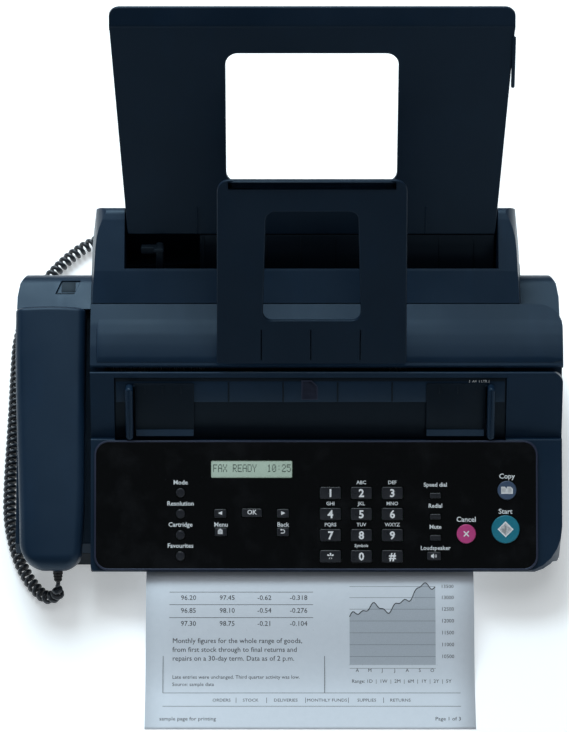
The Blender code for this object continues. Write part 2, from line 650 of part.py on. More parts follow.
def front_unit_shell():
    low_z = FIT_GAP
    corners = [(0.0010, LIP_BOTTOM_Z, 0), (0, LIP_Z, 0), (PANEL_REAR[0], PANEL_REAR[1], 0.0010),
               (BED_FOOT[0], BED_FOOT[1] + 0.002, 0), (BED_FOOT[0], BED_FOOT[1], 0),
               (BED_HEAD[0], BED_HEAD[1], 0.001), (UNIT_HINGE_Y + 0.0008, UNIT_HINGE_Z + 0.001, 0),
               (UNIT_HINGE_Y + 0.0004, BASE_REAR_TOP_Z + low_z, 0),
               (BASE_FRONT_Y, BASE_FRONT_TOP_Z + low_z + 0.0003, 0), (0.0150, 0.0200, 0),
               (0.0090, LIP_BOTTOM_Z, 0)]
    shell = profile("front_unit_shell", corners, UNIT_LEFT_X, RIGHT_X, NAVY)
    boolean(shell, body_plan("unit_plan", UNIT_LEFT_X, RIGHT_X, 0, 0, 0, 0, 0.003, FRONT_CORNER), "INTERSECT")
    corner = rounded([(UNIT_LEFT_X - 0.02, -0.2, 0), (RIGHT_X + 0.0003, -0.2, 0),
                      (RIGHT_X + 0.0003, BED_LENGTH + 0.0004, UNIT_TOP_CORNER), (UNIT_LEFT_X - 0.02, BED_LENGTH + 0.0004, 0)])
    boolean(shell, slab("unit_top_corner", [corner], -0.2, 0.2, bed_plane(), None, CUTTERS), "INTERSECT")
    hollow = profile("unit_hollow", [(0.0075, 0.00, 0), (0.0075, 0.0330, 0), (PANEL_REAR[0] - 0.001, 0.0728, 0),
                                     (BED_FOOT[0] + 0.001, 0.0680, 0), (0.1010, 0.1045, 0), (0.12, 0.1045, 0),
                                     (0.12, 0.00, 0)], -0.3, 0.3, None, CUTTERS)
    boolean(hollow, body_plan("unit_hollow_plan", UNIT_LEFT_X, RIGHT_X, 0, WALL, 0, 0, 0.003, FRONT_CORNER),
            "INTERSECT")
    window = slab("panel_window", [rectangle((FASCIA_X - FASCIA_WIDTH / 2 + 0.006, 0.0046),
                                             (FASCIA_X + FASCIA_WIDTH / 2 - 0.006, 0.079), 0.002)],
                  -0.0064, 0.02, tilted(0, LIP_Z, PANEL_TILT), None, CUTTERS)
    recess = slab("bed_recess", [rectangle((RECESS_X[0], -0.001), (RECESS_X[1], BED_SPAN[1] + 0.0006), 0)],
                  -RECESS_DEPTH, 0.02, tilted(BED_FOOT[0], BED_FOOT[1], BED_TILT), None, CUTTERS)
    cut(shell, hollow, window, recess)
    return origin_to(shell, (FASCIA_X, UNIT_HINGE_Y, UNIT_HINGE_Z))


def panel_plane():
    return tilted(0, LIP_Z, PANEL_TILT)


def key_table():
    """Every key: name, outline on the panel, material. x runs right and the second axis climbs."""
    keys = []
    for index, name in enumerate(("mode_key", "resolution_key", "cartridge_key", "favourites_key")):
        keys.append((name, circle((-0.0719, 0.0515 - 0.0139 * index), 0.0030, 20), KEYCAP))
    for name, x, climb, half_x in (("left_key", -0.0456, 0.0379, 0.0040), ("ok_key", -0.0248, 0.0383, 0.0066),
                                   ("right_key", -0.0043, 0.0379, 0.0040), ("menu_key", -0.0452, 0.0257, 0.0040),
                                   ("back_key", -0.0043, 0.0257, 0.0040)):
        keys.append((name, rectangle((x - half_x, climb - 0.0028), (x + half_x, climb + 0.0028), 0.0009), KEYCAP))
    digits = ("digit_1", "digit_2", "digit_3", "digit_4", "digit_5", "digit_6", "digit_7", "digit_8", "digit_9",
              "star", "digit_0", "hash")
    half_x, half_y = KEYPAD_KEY[0] / 2, KEYPAD_KEY[1] / 2
    for index, name in enumerate(digits):
        x = KEYPAD_PLACE[0] + KEYPAD_PITCH[0] * (index % 3 - 1)
        climb = KEYPAD_PLACE[1] + KEYPAD_PITCH[1] * (1.5 - index // 3)
        keys.append((name + "_key", rectangle((x - half_x, climb - half_y), (x + half_x, climb + half_y), 0.0012),
                     KEYCAP))
    for index, name in enumerate(("speed_dial_key", "redial_key", "mute_key")):
        x, climb = 0.0962, 0.0496 - 0.0139 * index
        keys.append((name, rectangle((x - 0.0037, climb - 0.0018), (x + 0.0037, climb + 0.0018), 0.0008), KEYCAP))
    keys.append(("loudspeaker_key", rectangle((0.0907, 0.0071), (0.0999, 0.0125), 0.0010), KEYCAP))
    keys.append(("cancel_key", circle((0.1165, 0.0244), 0.0063), MAGENTA))
    keys.append(("copy_key", circle((0.1434, 0.0531), 0.0062), SLATE))
    keys.append(("start_key", circle((0.1424, 0.0274), 0.0092, 32), TEAL))
    return keys


def middle_of(outline):
    low = Vector((min(p[0] for p in outline), min(p[1] for p in outline)))
    high = Vector((max(p[0] for p in outline), max(p[1] for p in outline)))
    return (low + high) / 2, (high - low) / 2


def grown(outline, by):
    """The same outline stretched about its middle so that each side moves out by a clearance."""
    middle, half = middle_of(outline)
    return [Vector((middle[0] + (p[0] - middle[0]) * (half[0] + by) / half[0],
                    middle[1] + (p[1] - middle[1]) * (half[1] + by) / half[1])) for p in outline]


FASCIA_LOW = 0.0004
FASCIA_TOP = FASCIA_LOW + FASCIA_THICKNESS
BOARD_TOP = FASCIA_TOP + KEY_PROUD - KEY_DEPTH - 2 * (KEY_TRAVEL + KEY_CLEARANCE)


def control_panel():
    low = (FASCIA_X - FASCIA_WIDTH / 2, 0.0007)
    high = (FASCIA_X + FASCIA_WIDTH / 2, 0.0007 + FASCIA_LENGTH)
    keys = key_table()
    lcd_low = (LCD_PLACE[0] - LCD_SIZE[0] / 2, LCD_PLACE[1] - LCD_SIZE[1] / 2)
    lcd_high = (LCD_PLACE[0] + LCD_SIZE[0] / 2, LCD_PLACE[1] + LCD_SIZE[1] / 2)
    lens = rectangle(lcd_low, lcd_high, 0.0006)
    holes = [grown(outline, KEY_CLEARANCE) for _, outline, _ in keys] + [grown(lens, FIT_GAP)]
    slab("panel_fascia", [rectangle(low, high, FASCIA_CORNER), *holes], FASCIA_LOW, FASCIA_TOP,
         panel_plane(), GLOSS)
    slab("lcd_lens", [lens], -0.0030, FASCIA_TOP - 0.0004, panel_plane(), LENS)
    for name, outline, material in keys:
        middle, _ = middle_of(outline)
        key = slab(name, [outline], FASCIA_TOP + KEY_PROUD - KEY_DEPTH, FASCIA_TOP + KEY_PROUD, panel_plane(),
                   material)
        top = panel_plane() @ Vector((middle[0], middle[1], FASCIA_TOP + KEY_PROUD))
        origin_to(soften(key, 0.0004, 1, 60), top)
    slab("keypad_board", [rectangle((FASCIA_X - FASCIA_WIDTH / 2 + 0.0080, 0.0078),
                                    (FASCIA_X + FASCIA_WIDTH / 2 - 0.0080, 0.0768))],
         BOARD_TOP - BOARD_THICKNESS, BOARD_TOP, panel_plane(), BOARD)


def bed_plane():
    return tilted(BED_FOOT[0], BED_FOOT[1], BED_TILT)


def document_bed():
    outline = rectangle((RECESS_X[0] + FIT_GAP, BED_SPAN[0]), (RECESS_X[1] - FIT_GAP, BED_SPAN[1]), 0.0006)
    bed = slab("document_bed", [outline], -RECESS_DEPTH + FIT_GAP, -RECESS_DEPTH + FIT_GAP + BED_THICKNESS,
               bed_plane(), DARK)
    return bed


GUIDE_PLATE = 0.0400
GUIDE_FENCE = 0.0050
GUIDE_OUTER_X = (-0.1080, 0.1352)
GUIDE_HEIGHT = 0.0085


def document_guide(name, outer_x, direction):
    """Flat plate on the bed with an upright fence along its outer edge."""
    low = -RECESS_DEPTH + BED_THICKNESS + 2 * FIT_GAP
    plate_edge = outer_x + direction * (GUIDE_FENCE + GUIDE_PLATE)
    plate = slab(name, [rectangle((min(outer_x, plate_edge), 0.0030), (max(outer_x, plate_edge), 0.0400), 0.001)],
                 low, low + 0.0014, bed_plane(), DARK)
    fence_edge = outer_x + direction * GUIDE_FENCE
    fence = slab(name + "_fence", [rectangle((min(outer_x, fence_edge), 0.0025), (max(outer_x, fence_edge), 0.0395))],
                 low + 0.0004, low + GUIDE_HEIGHT, bed_plane(), None, CUTTERS)
    boolean(plate, fence, "UNION")
    return origin_to(plate, bed_plane() @ Vector((fence_edge, 0.02, low)))


# ---------------------------------------------------------------- tray, support and page

def tray_profile():
    """Side outline of the paper tray: a straight back with a lip that leans further back."""
    y, z = TRAY_FOOT
    bend = (y + TRAY_LENGTH * math.cos(TRAY_TILT), z + TRAY_LENGTH * math.sin(TRAY_TILT))
    tip = (bend[0] + TRAY_LIP * math.cos(TRAY_LIP_TILT), bend[1] + TRAY_LIP * math.sin(TRAY_LIP_TILT))
    front = [(y, z), bend, tip]
    thick = TRAY_THICKNESS
    back = [(tip[0] + thick * math.sin(TRAY_LIP_TILT), tip[1] - thick * math.cos(TRAY_LIP_TILT)),
            (bend[0] + thick * math.sin(TRAY_TILT), bend[1] - thick * math.cos(TRAY_TILT)),
            (y + thick * math.sin(TRAY_TILT), z - thick * math.cos(TRAY_TILT))]
    return front + back


def paper_tray():
    outline = [(p[0], p[1], 0) for p in tray_profile()]
    half_top, half_foot = TRAY_WIDTH_TOP / 2, TRAY_WIDTH_FOOT / 2
    tray = profile("paper_tray", outline, CENTRE_X - half_top, CENTRE_X + half_top, NAVY)
    reach = TRAY_LENGTH + TRAY_LIP
    shape = rounded([(CENTRE_X - half_foot, -0.02, 0), (CENTRE_X + half_foot, -0.02, 0),
                     (CENTRE_X + half_top - 0.0002, reach, 0.010), (CENTRE_X - half_top + 0.0002, reach, 0.010)])
    plane = tilted(TRAY_FOOT[0], TRAY_FOOT[1], TRAY_TILT)
    boolean(tray, slab("tray_outline", [shape], -0.03, 0.03, plane, None, CUTTERS), "INTERSECT")
    width, low, high = TRAY_HOLE
    hole = slab("tray_hole", [rectangle((CENTRE_X - width / 2, low), (CENTRE_X + width / 2, high), 0.008)],
                -0.03, 0.03, plane, None, CUTTERS)
    return cut(tray, hole)


def document_support():
    place = tilted(SUPPORT_FOOT[0], SUPPORT_FOOT[1], SUPPORT_TILT)
    half = SUPPORT_WIDTH / 2
    outer = rounded([(CENTRE_X - half - 0.001, 0, 0.002), (CENTRE_X + half + 0.001, 0, 0.002),
                     (CENTRE_X + half, SUPPORT_LENGTH, 0.008), (CENTRE_X - half, SUPPORT_LENGTH, 0.008)])
    top_half, foot_half, low, high = SUPPORT_HOLE[0] / 2, SUPPORT_HOLE[1] / 2, SUPPORT_HOLE[2], SUPPORT_HOLE[3]
    hole = rounded([(CENTRE_X - foot_half, low, 0.006), (CENTRE_X + foot_half, low, 0.006),
                    (CENTRE_X + top_half, high, 0.006), (CENTRE_X - top_half, high, 0.006)])
    return slab("document_support", [outer, hole], 0, SUPPORT_THICKNESS, place, NAVY)


def page_height(y):
    """Height of the page's middle: level in the exit slot, then easing down to the desk."""
    start, finish, low = -0.004, -0.078, PAGE_THICKNESS / 2 + 0.0002
    share = min(max((start - y) / (start - finish), 0), 1)
    return low + (PAGE_Z - low) * (0.5 + 0.5 * math.cos(math.pi * share))


def page_rear_y():
    """The rear edge that gives the page its full length along its curve."""
    steps = 60
    length, step = 0.0, (0.0 - PAGE_FRONT_Y) / steps
    for index in range(steps):
        y = PAGE_FRONT_Y + step * index
        length += math.hypot(step, page_height(y + step) - page_height(y))
    return PAGE_LENGTH - length


def printed_page():
    places = [PAGE_FRONT_Y, -0.080, *(-0.076 + 0.006 * step for step in range(13)), page_rear_y()]
    half = PAGE_THICKNESS / 2
    upper = [Vector((y, page_height(y) + half)) for y in places]
    lower = [Vector((y, page_height(y) - half)) for y in reversed(places)]
    return slab("printed_page", [upper + lower], CENTRE_X - 0.001 - PAGE_WIDTH / 2,
                CENTRE_X - 0.001 + PAGE_WIDTH / 2, ALONG_X, PAPER)


# ---------------------------------------------------------------- moving pieces inside

def rollers():
    low, high = CHEEK_X[0] - 0.0035, CHEEK_X[1] + 0.0035
    for name, (y, z, radius, shaft) in ROLLERS.items():
        barrel = rod(name, (low + 0.012, y, z), (high - 0.012, y, z), radius, material=RUBBER)
        axle = rod(name + "_shaft", (low, y, z), (high, y, z), shaft, steps=16, collection=CUTTERS)
        boolean(barrel, axle, "UNION")


CARRIAGE_SIZE = (0.060, 0.040, 0.044)
CARRIAGE_X = 0.112


def carriage():
    y, z, radius = CARRIAGE_ROD
    rod("carriage_rod", (CHEEK_X[0] - 0.0035, y, z), (CHEEK_X[1] + 0.0035, y, z), radius, steps=20, material=STEEL)
    centre = (CARRIAGE_X, y - 0.010, z - 0.012)
    body = block("print_carriage", CARRIAGE_SIZE, centre, DARK)
    bore = rod("carriage_bore", (CARRIAGE_X - 0.1, y, z), (CARRIAGE_X + 0.1, y, z), radius + FIT_GAP, steps=20,
               collection=CUTTERS)
    tip = block("print_head", (0.020, 0.014, 0.016), (CARRIAGE_X, y - 0.010, z - 0.040), None, CUTTERS)
    boolean(body, tip, "UNION")
    cut(body, bore)
    return origin_to(body, (CARRIAGE_X, y, z))


def scan_bar():
    return block("scan_bar", (CHEEK_X[1] - CHEEK_X[0] - CHEEK_THICKNESS - 0.002, 0.010, 0.008),
                 ((CHEEK_X[0] + CHEEK_X[1]) / 2, 0.050, 0.0345), DARK)


# ---------------------------------------------------------------- assembly

def place_on_desk():
    """Parents every object to one empty, which puts the origin under the middle of the machine's box."""
    rear = max(point[0] for point in tray_profile())
    frame = bpy.data.objects.new("machine_frame", None)
    PARTS.objects.link(frame)
    for obj in list(PARTS.objects) + list(CUTTERS.objects):
        if obj is not frame:
            obj.parent = frame
    frame.location = (0, -(PAGE_FRONT_Y + rear) / 2, 0)


def build():
    base_casing()
    feet()
    upper_casing()
    top_cover()
    rear_housing()
    feed_plate()
    paper_guide()
    handset_cradle()
    hook_switch()
    handset()
    handset_cord()
    cord_ends()
    front_unit_shell()
    control_panel()
    document_bed()
    document_guide("document_guide_left", GUIDE_OUTER_X[0], 1)
    document_guide("document_guide_right", GUIDE_OUTER_X[1], -1)
    paper_tray()
    document_support()
    printed_page()
    rollers()
    carriage()
    scan_bar()
    place_on_desk()


build()
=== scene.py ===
"""The visual model of a desktop fax machine, laid out as an add-on: shells, handset, cord, keys and page."""

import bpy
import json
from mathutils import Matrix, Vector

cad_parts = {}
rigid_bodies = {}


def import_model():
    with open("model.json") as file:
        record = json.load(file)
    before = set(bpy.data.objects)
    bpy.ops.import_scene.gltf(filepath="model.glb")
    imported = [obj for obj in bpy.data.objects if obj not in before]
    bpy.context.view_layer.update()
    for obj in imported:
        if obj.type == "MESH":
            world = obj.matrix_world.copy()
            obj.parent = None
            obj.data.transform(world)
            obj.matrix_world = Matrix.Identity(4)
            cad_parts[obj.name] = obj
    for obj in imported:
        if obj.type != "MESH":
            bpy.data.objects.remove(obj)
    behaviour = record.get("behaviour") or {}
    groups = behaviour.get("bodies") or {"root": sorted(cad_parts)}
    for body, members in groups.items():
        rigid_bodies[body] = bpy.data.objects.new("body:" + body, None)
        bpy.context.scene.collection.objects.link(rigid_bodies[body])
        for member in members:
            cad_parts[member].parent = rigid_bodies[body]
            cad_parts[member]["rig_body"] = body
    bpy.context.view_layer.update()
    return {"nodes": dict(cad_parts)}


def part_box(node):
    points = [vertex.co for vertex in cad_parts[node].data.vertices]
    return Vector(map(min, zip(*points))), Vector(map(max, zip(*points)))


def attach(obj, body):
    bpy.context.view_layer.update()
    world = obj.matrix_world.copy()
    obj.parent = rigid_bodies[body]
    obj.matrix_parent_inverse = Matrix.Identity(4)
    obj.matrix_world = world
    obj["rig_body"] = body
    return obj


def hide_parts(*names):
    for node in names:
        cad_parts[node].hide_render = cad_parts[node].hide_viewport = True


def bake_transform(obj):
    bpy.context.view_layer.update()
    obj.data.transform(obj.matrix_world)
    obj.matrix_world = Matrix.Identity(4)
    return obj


bl_info = {
    "name": "Desktop Fax Machine",
    "version": (1, 0, 0),
    "blender": (4, 5, 0),
    "location": "View3D > Sidebar > Fax Machine",
    "description": "Builds the finished surfaces of a desktop fax machine round its packed frame",
    "category": "Add Mesh",
}

import json
import math

import bmesh
import bpy
import numpy as np
from bpy.props import FloatProperty, FloatVectorProperty, IntProperty, PointerProperty
from bpy.types import Operator, Panel, PropertyGroup
from mathutils import Vector

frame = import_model()

UP = np.array((0.0, 0.0, 1.0))
FRONT_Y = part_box("front_unit_shell")[0].y
PANEL_TILT = math.radians(32)
BED_TILT = math.radians(57)
TRAY_TILT = math.radians(65)
SUPPORT_TILT = math.radians(60)
HANDSET_TILT = math.radians(24.8)
LIP_Z = 0.0312
PANEL_LENGTH = 0.0868
CENTRE_X = 0.0145


# ---------------------------------------------------------------- places

def tilted(y, z, tilt, x=0.0):
    """Returns the map from (across, climb, out) on a plane that rises rearwards by tilt to world metres."""
    c, s = math.cos(tilt), math.sin(tilt)

    def place(points):
        p = np.asarray(points, float)
        return np.stack([x + p[..., 0],
                         FRONT_Y + y + p[..., 1] * c - p[..., 2] * s,
                         z + p[..., 1] * s + p[..., 2] * c], axis=-1)
    return place


PANEL = tilted(0, LIP_Z, PANEL_TILT)
BED_FOOT = (PANEL_LENGTH * math.cos(PANEL_TILT) + 0.0026,
            LIP_Z + PANEL_LENGTH * math.sin(PANEL_TILT) - 0.0040)
BED = tilted(BED_FOOT[0], BED_FOOT[1], BED_TILT)
TRAY_FOOT = (0.1885, 0.1498)
TRAY = tilted(TRAY_FOOT[0], TRAY_FOOT[1], TRAY_TILT)
SUPPORT = tilted(0.1068, 0.1190, SUPPORT_TILT)
HANDSET = tilted(-0.007, 0.044, HANDSET_TILT)
FLOOR = tilted(0, 0, 0)


# ---------------------------------------------------------------- shader maths

class Number:
    """A number socket that can stand in a Python expression; every operator adds one Math node."""

    def __init__(self, recipe, socket):
        self.recipe = recipe
        self.socket = socket

    def use(self, operation, *others):
        values = {0: self.socket}
        for index, other in enumerate(others, 1):
            values[index] = other.socket if isinstance(other, Number) else other
        made = self.recipe.node("ShaderNodeMath", {"operation": operation}, values)
        return Number(self.recipe, made.outputs[0])

    def swapped(self, operation, other):
        made = self.recipe.node("ShaderNodeMath", {"operation": operation}, {0: other, 1: self.socket})
        return Number(self.recipe, made.outputs[0])

    def __add__(self, other):
        return self.use("ADD", other)

    __radd__ = __add__

    def __sub__(self, other):
        return self.use("SUBTRACT", other)

    def __rsub__(self, other):
        return self.swapped("SUBTRACT", other)

    def __mul__(self, other):
        return self.use("MULTIPLY", other)

    __rmul__ = __mul__

    def __truediv__(self, other):
        return self.use("DIVIDE", other)

    def band(self, low, high):
        """0 below low, 1 above high and a straight ramp between."""
        return ((self - low) / (high - low)).use("MINIMUM", 1.0).use("MAXIMUM", 0.0)


class Recipe:
    """A material under construction. node() makes every node that isn't plain arithmetic."""

    def __init__(self, name, **constants):
        self.material = bpy.data.materials.new(name)
        self.material.use_nodes = True
        self.tree = self.material.node_tree
        self.shader = self.tree.nodes["Principled BSDF"]
        for socket, value in constants.items():
            self.shader.inputs[socket.replace("_", " ")].default_value = value
        self.spot = self.node("ShaderNodeTexCoord").outputs["Object"]

    def node(self, kind, settings=None, values=None):
        made = self.tree.nodes.new(kind)
        for setting, value in (settings or {}).items():
            if setting == "stops":
                ramp = made.color_ramp
                while len(ramp.elements) < len(value):
                    ramp.elements.new(0.5)
                for element, (position, colour) in zip(ramp.elements, value):
                    element.position = position
                    element.color = (*colour, 1.0)
            else:
                setattr(made, setting, value)
        for socket, value in (values or {}).items():
            if isinstance(value, Number):
                value = value.socket
            if isinstance(value, bpy.types.NodeSocket):
                self.tree.links.new(value, made.inputs[socket])
            else:
                made.inputs[socket].default_value = value
        return made

    def noise(self, scale, detail=2.0, rough=0.5, stretch=(1, 1, 1)):
        spot = self.spot
        if stretch != (1, 1, 1):
            spot = self.node("ShaderNodeMapping", {}, {"Vector": spot, "Scale": stretch}).outputs[0]
        made = self.node("ShaderNodeTexNoise", {}, {"Vector": spot, "Scale": scale, "Detail": detail,
                                                   "Roughness": rough})
        return Number(self, made.outputs[0])

    def cells(self, scale):
        made = self.node("ShaderNodeTexVoronoi", {}, {"Vector": self.spot, "Scale": scale})
        return Number(self, made.outputs["Distance"])

    def axis(self, name):
        made = self.node("ShaderNodeSeparateXYZ", {}, {0: self.spot})
        return Number(self, made.outputs[name])

    def facing_up(self):
        normal = self.node("ShaderNodeNewGeometry").outputs["Normal"]
        return Number(self, self.node("ShaderNodeSeparateXYZ", {}, {0: normal}).outputs["Z"])

    def mix(self, share, first, second):
        first, second = ((*value, 1.0) if isinstance(value, tuple) else value for value in (first, second))
        made = self.node("ShaderNodeMix", {"data_type": "RGBA"}, {0: share, 6: first, 7: second})
        return made.outputs[2]

    def bump(self, height, distance, strength=1.0):
        made = self.node("ShaderNodeBump", {}, {"Height": height, "Distance": distance, "Strength": strength})
        self.feed("Normal", made.outputs["Normal"])

    def feed(self, socket, value):
        if isinstance(value, Number):
            value = value.socket
        self.tree.links.new(value, self.shader.inputs[socket])


def shade(colour, factor):
    return tuple(min(channel * factor, 1.0) for channel in colour)


def moulded_plastic(name, colour, roughness, grain=0.00004, dust=0.03, gloss=0.30):
    """Injection-moulded plastic: spark-eroded grain, cloudy roughness, faint handling marks and dust."""
    made = Recipe(name, Specular_IOR_Level=gloss, Specular_Tint=(0.62, 0.84, 1.0, 1.0))
    grain_height = made.noise(2600, 3.0, 0.6) * 0.7 + made.cells(3400) * 0.5
    clouds = made.noise(16, 4.0, 0.55)
    rubs = made.noise(60, 5.0, 0.65, (1.0, 0.25, 0.6)).band(0.52, 0.72)
    specks = made.noise(900, 2.0, 0.5).band(0.70, 0.78)
    lying = made.facing_up().band(0.35, 1.0) * clouds.band(0.35, 0.75)
    base = made.mix(clouds, shade(colour, 0.86), shade(colour, 1.16))
    rubbed = made.mix(rubs * 0.22, base, shade(colour, 1.7))
    made.feed("Base Color", made.mix(lying * dust + specks * 0.02, rubbed, (0.16, 0.20, 0.25)))
    made.feed("Roughness", (clouds - 0.5) * 0.16 + lying * 0.10 - rubs * 0.07 + roughness)
    made.bump(grain_height, grain)
    return made.material


def polished_plastic(name, colour, roughness=0.10, streaks=0.05):
    """Polished moulding: almost flat, with orange-peel ripple, hairline wipes and finger marks."""
    made = Recipe(name, Specular_IOR_Level=0.35)
    prints = made.noise(42, 5.0, 0.6).band(0.50, 0.68)
    wipes = made.noise(220, 3.0, 0.6, (0.12, 1.0, 1.0)).band(0.55, 0.75)
    motes = made.noise(1500, 1.0, 0.4).band(0.72, 0.78)
    made.feed("Base Color", made.mix(motes * 0.10 + prints * 0.03, colour, (0.10, 0.11, 0.13)))
    made.feed("Roughness", prints * 0.10 + wipes * streaks + roughness)
    made.bump(made.noise(300, 1.0, 0.4), 0.000012)
    return made.material


def key_plastic(name, colour, roughness=0.34):
    """Key cap: fine grain that fingers have polished towards the middle, with small tone shifts."""
    made = Recipe(name, Specular_IOR_Level=0.5)
    clouds = made.noise(120, 3.0, 0.5)
    made.feed("Base Color", made.mix(clouds, shade(colour, 0.85), shade(colour, 1.18)))
    made.feed("Roughness", (clouds - 0.5) * 0.22 + roughness)
    made.bump(made.noise(3200, 2.0, 0.6), 0.000015)
    return made.material


def rubber(name, colour=(0.012, 0.012, 0.013)):
    """Black rubber: matt, dusty in patches and finely pitted."""
    made = Recipe(name, Specular_IOR_Level=0.3)
    clouds = made.noise(40, 4.0, 0.6)
    made.feed("Base Color", made.mix(clouds.band(0.4, 0.75), colour, shade(colour, 3.2)))
    made.feed("Roughness", clouds * 0.2 + 0.62)
    made.bump(made.noise(1800, 4.0, 0.7), 0.00006)
    return made.material


def cord_plastic(name, colour):
    """Soft PVC lead: satin, slightly oily highlights and dust between the turns."""
    made = Recipe(name, Specular_IOR_Level=0.6)
    clouds = made.noise(70, 3.0, 0.6)
    made.feed("Base Color", made.mix(clouds, colour, shade(colour, 1.9)))
    made.feed("Roughness", clouds * 0.18 + 0.26)
    made.bump(made.noise(1300, 2.0, 0.5), 0.00003)
    return made.material


def ground_steel(name):
    """Ground steel rod: bright, with fine marks round it and faint oil stains."""
    made = Recipe(name, Metallic=1.0)
    marks = made.noise(900, 3.0, 0.6, (4.0, 0.2, 0.2))
    stains = made.noise(30, 3.0, 0.5)
    made.feed("Base Color", made.mix(stains, (0.56, 0.57, 0.58), (0.70, 0.70, 0.69)))
    made.feed("Roughness", marks * 0.14 + stains * 0.08 + 0.14)
    made.bump(marks, 0.00001)
    return made.material


def circuit_board(name):
    """Green solder mask over copper tracks that run across and along the board."""
    made = Recipe(name, Specular_IOR_Level=0.6)
    across = (made.axis("X") * 420).use("FRACT").band(0.42, 0.5)
    cells = made.cells(180).band(0.28, 0.34)
    tracks = across * cells
    made.feed("Base Color", made.mix(tracks, (0.006, 0.075, 0.028), (0.020, 0.16, 0.05)))
    made.feed("Roughness", tracks * 0.1 + 0.32)
    made.bump(tracks, 0.00004)
    return made.material


def office_paper(name):
    """Copier paper: bluish white, with cloudy formation, fibres and a faint tooth."""
    made = Recipe(name, Specular_IOR_Level=0.25)
    cloud = made.noise(260, 4.0, 0.6)
    fibres = made.noise(1500, 4.0, 0.7, (1.0, 0.35, 1.0))
    made.feed("Base Color", made.mix(cloud * 0.6 + fibres * 0.4, (0.66, 0.71, 0.77), (0.76, 0.80, 0.86)))
    made.feed("Roughness", fibres * 0.15 + 0.78)
    made.bump(fibres, 0.00003)
    return made.material


def ink(name, colour, roughness=0.6):
    """Printed ink: slightly uneven density with a broken edge."""
    made = Recipe(name, Specular_IOR_Level=0.3)
    density = made.noise(1800, 3.0, 0.6)
    made.feed("Base Color", made.mix(density, shade(colour, 0.85), shade(colour, 1.2)))
    made.feed("Roughness", density * 0.15 + roughness)
    return made.material


def display_painted_glow(name):
    """Reflective liquid-crystal ground: pale green with dot rows and a soft falloff to its ends."""
    made = Recipe(name, Specular_IOR_Level=0.5)
    rows = (made.axis("X") * 1500).use("FRACT").band(0.80, 0.95)
    haze = made.noise(60, 2.0, 0.5)
    made.feed("Base Color", made.mix(rows * 0.25 + haze * 0.3, (0.50, 0.62, 0.52), (0.40, 0.52, 0.44)))
    made.feed("Roughness", haze * 0.1 + 0.18)
    # Painted glow: an emission colour makes this reflective display shine as if lit, standing in for the light it
    # reflects.
    made.feed("Emission Color", made.mix(haze, (0.10, 0.13, 0.11), (0.12, 0.15, 0.12)))
    made.shader.inputs["Emission Strength"].default_value = 0.5
    return made.material


MATERIALS = {}


def make_materials(colours):
    navy, dark = tuple(colours.casing), tuple(colours.recess)
    MATERIALS.update({
        "navy": moulded_plastic("satin_navy_plastic", navy, 0.40),
        "tray": moulded_plastic("satin_tray_plastic", shade(navy, 0.62), 0.42, dust=0.02, gloss=0.22),
        "dark": moulded_plastic("matt_charcoal_plastic", dark, 0.50, dust=0.02, gloss=0.22),
        "gloss": polished_plastic("polished_black_panel", tuple(colours.panel)),
        "bezel": moulded_plastic("panel_rim_plastic", (0.030, 0.034, 0.060), 0.34, 0.00002, 0.01),
        "key": key_plastic("grey_key_cap", (0.014, 0.016, 0.021), 0.30),
        "teal": key_plastic("start_key_cap", tuple(colours.start)),
        "magenta": key_plastic("cancel_key_cap", tuple(colours.cancel)),
        "slate": key_plastic("copy_key_cap", (0.050, 0.085, 0.150)),
        "white": ink("white_panel_print", (0.80, 0.84, 0.88), 0.5),
        "pale": ink("pale_key_print", (0.88, 0.91, 0.94), 0.4),
        "rubber": rubber("black_rubber"),
        "cord": cord_plastic("black_cord_plastic", (0.012, 0.016, 0.022)),
        "steel": ground_steel("ground_steel"),
        "board": circuit_board("keypad_circuit_board"),
        "paper": office_paper("office_paper"),
        "ink": ink("black_page_ink", (0.022, 0.024, 0.030)),
        "grey_ink": ink("grey_page_ink", (0.16, 0.18, 0.21)),
        "pale_ink": ink("pale_page_ink", (0.44, 0.48, 0.53)),
        "display": display_painted_glow("display_ground"),
        "glyph": ink("display_glyph", (0.030, 0.050, 0.045), 0.4),
        "contact": ink("gold_contact", (0.65, 0.45, 0.12), 0.3),
    })


# ---------------------------------------------------------------- mesh building

def finish_mesh(name, mesh, material, body, nodes=(), angle=32, recalculate=True):
    """Welds, turns the faces outwards, shades smooth up to the sharp angle and puts the piece on its body."""
    work = bmesh.new()
    work.from_mesh(mesh)
    bmesh.ops.remove_doubles(work, verts=work.verts, dist=2e-6)
    if recalculate:
        bmesh.ops.recalc_face_normals(work, faces=work.faces)
    work.to_mesh(mesh)
    work.free()
    mesh.materials.clear()
    mesh.materials.append(MATERIALS[material])
    mesh.shade_smooth()
    mesh.set_sharp_from_angle(angle=math.radians(angle))
    piece = bpy.data.objects.new(name, mesh)
    bpy.context.scene.collection.objects.link(piece)
    if nodes:
        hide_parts(*nodes)
    if body:
        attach(piece, body)
    return piece


def grid_faces(rows, columns, wrap_rows=False, wrap_columns=True, start=0):
    """Quads over a grid of points stored row by row, closed on itself where wrapped."""
    i = np.arange(rows if wrap_rows else rows - 1)
    j = np.arange(columns if wrap_columns else columns - 1)
    i, j = np.meshgrid(i, j, indexing="ij")
    i2, j2 = (i + 1) % rows, (j + 1) % columns
    quads = np.stack([i * columns + j, i * columns + j2, i2 * columns + j2, i2 * columns + j], axis=-1)
    return (quads.reshape(-1, 4) + start).tolist()


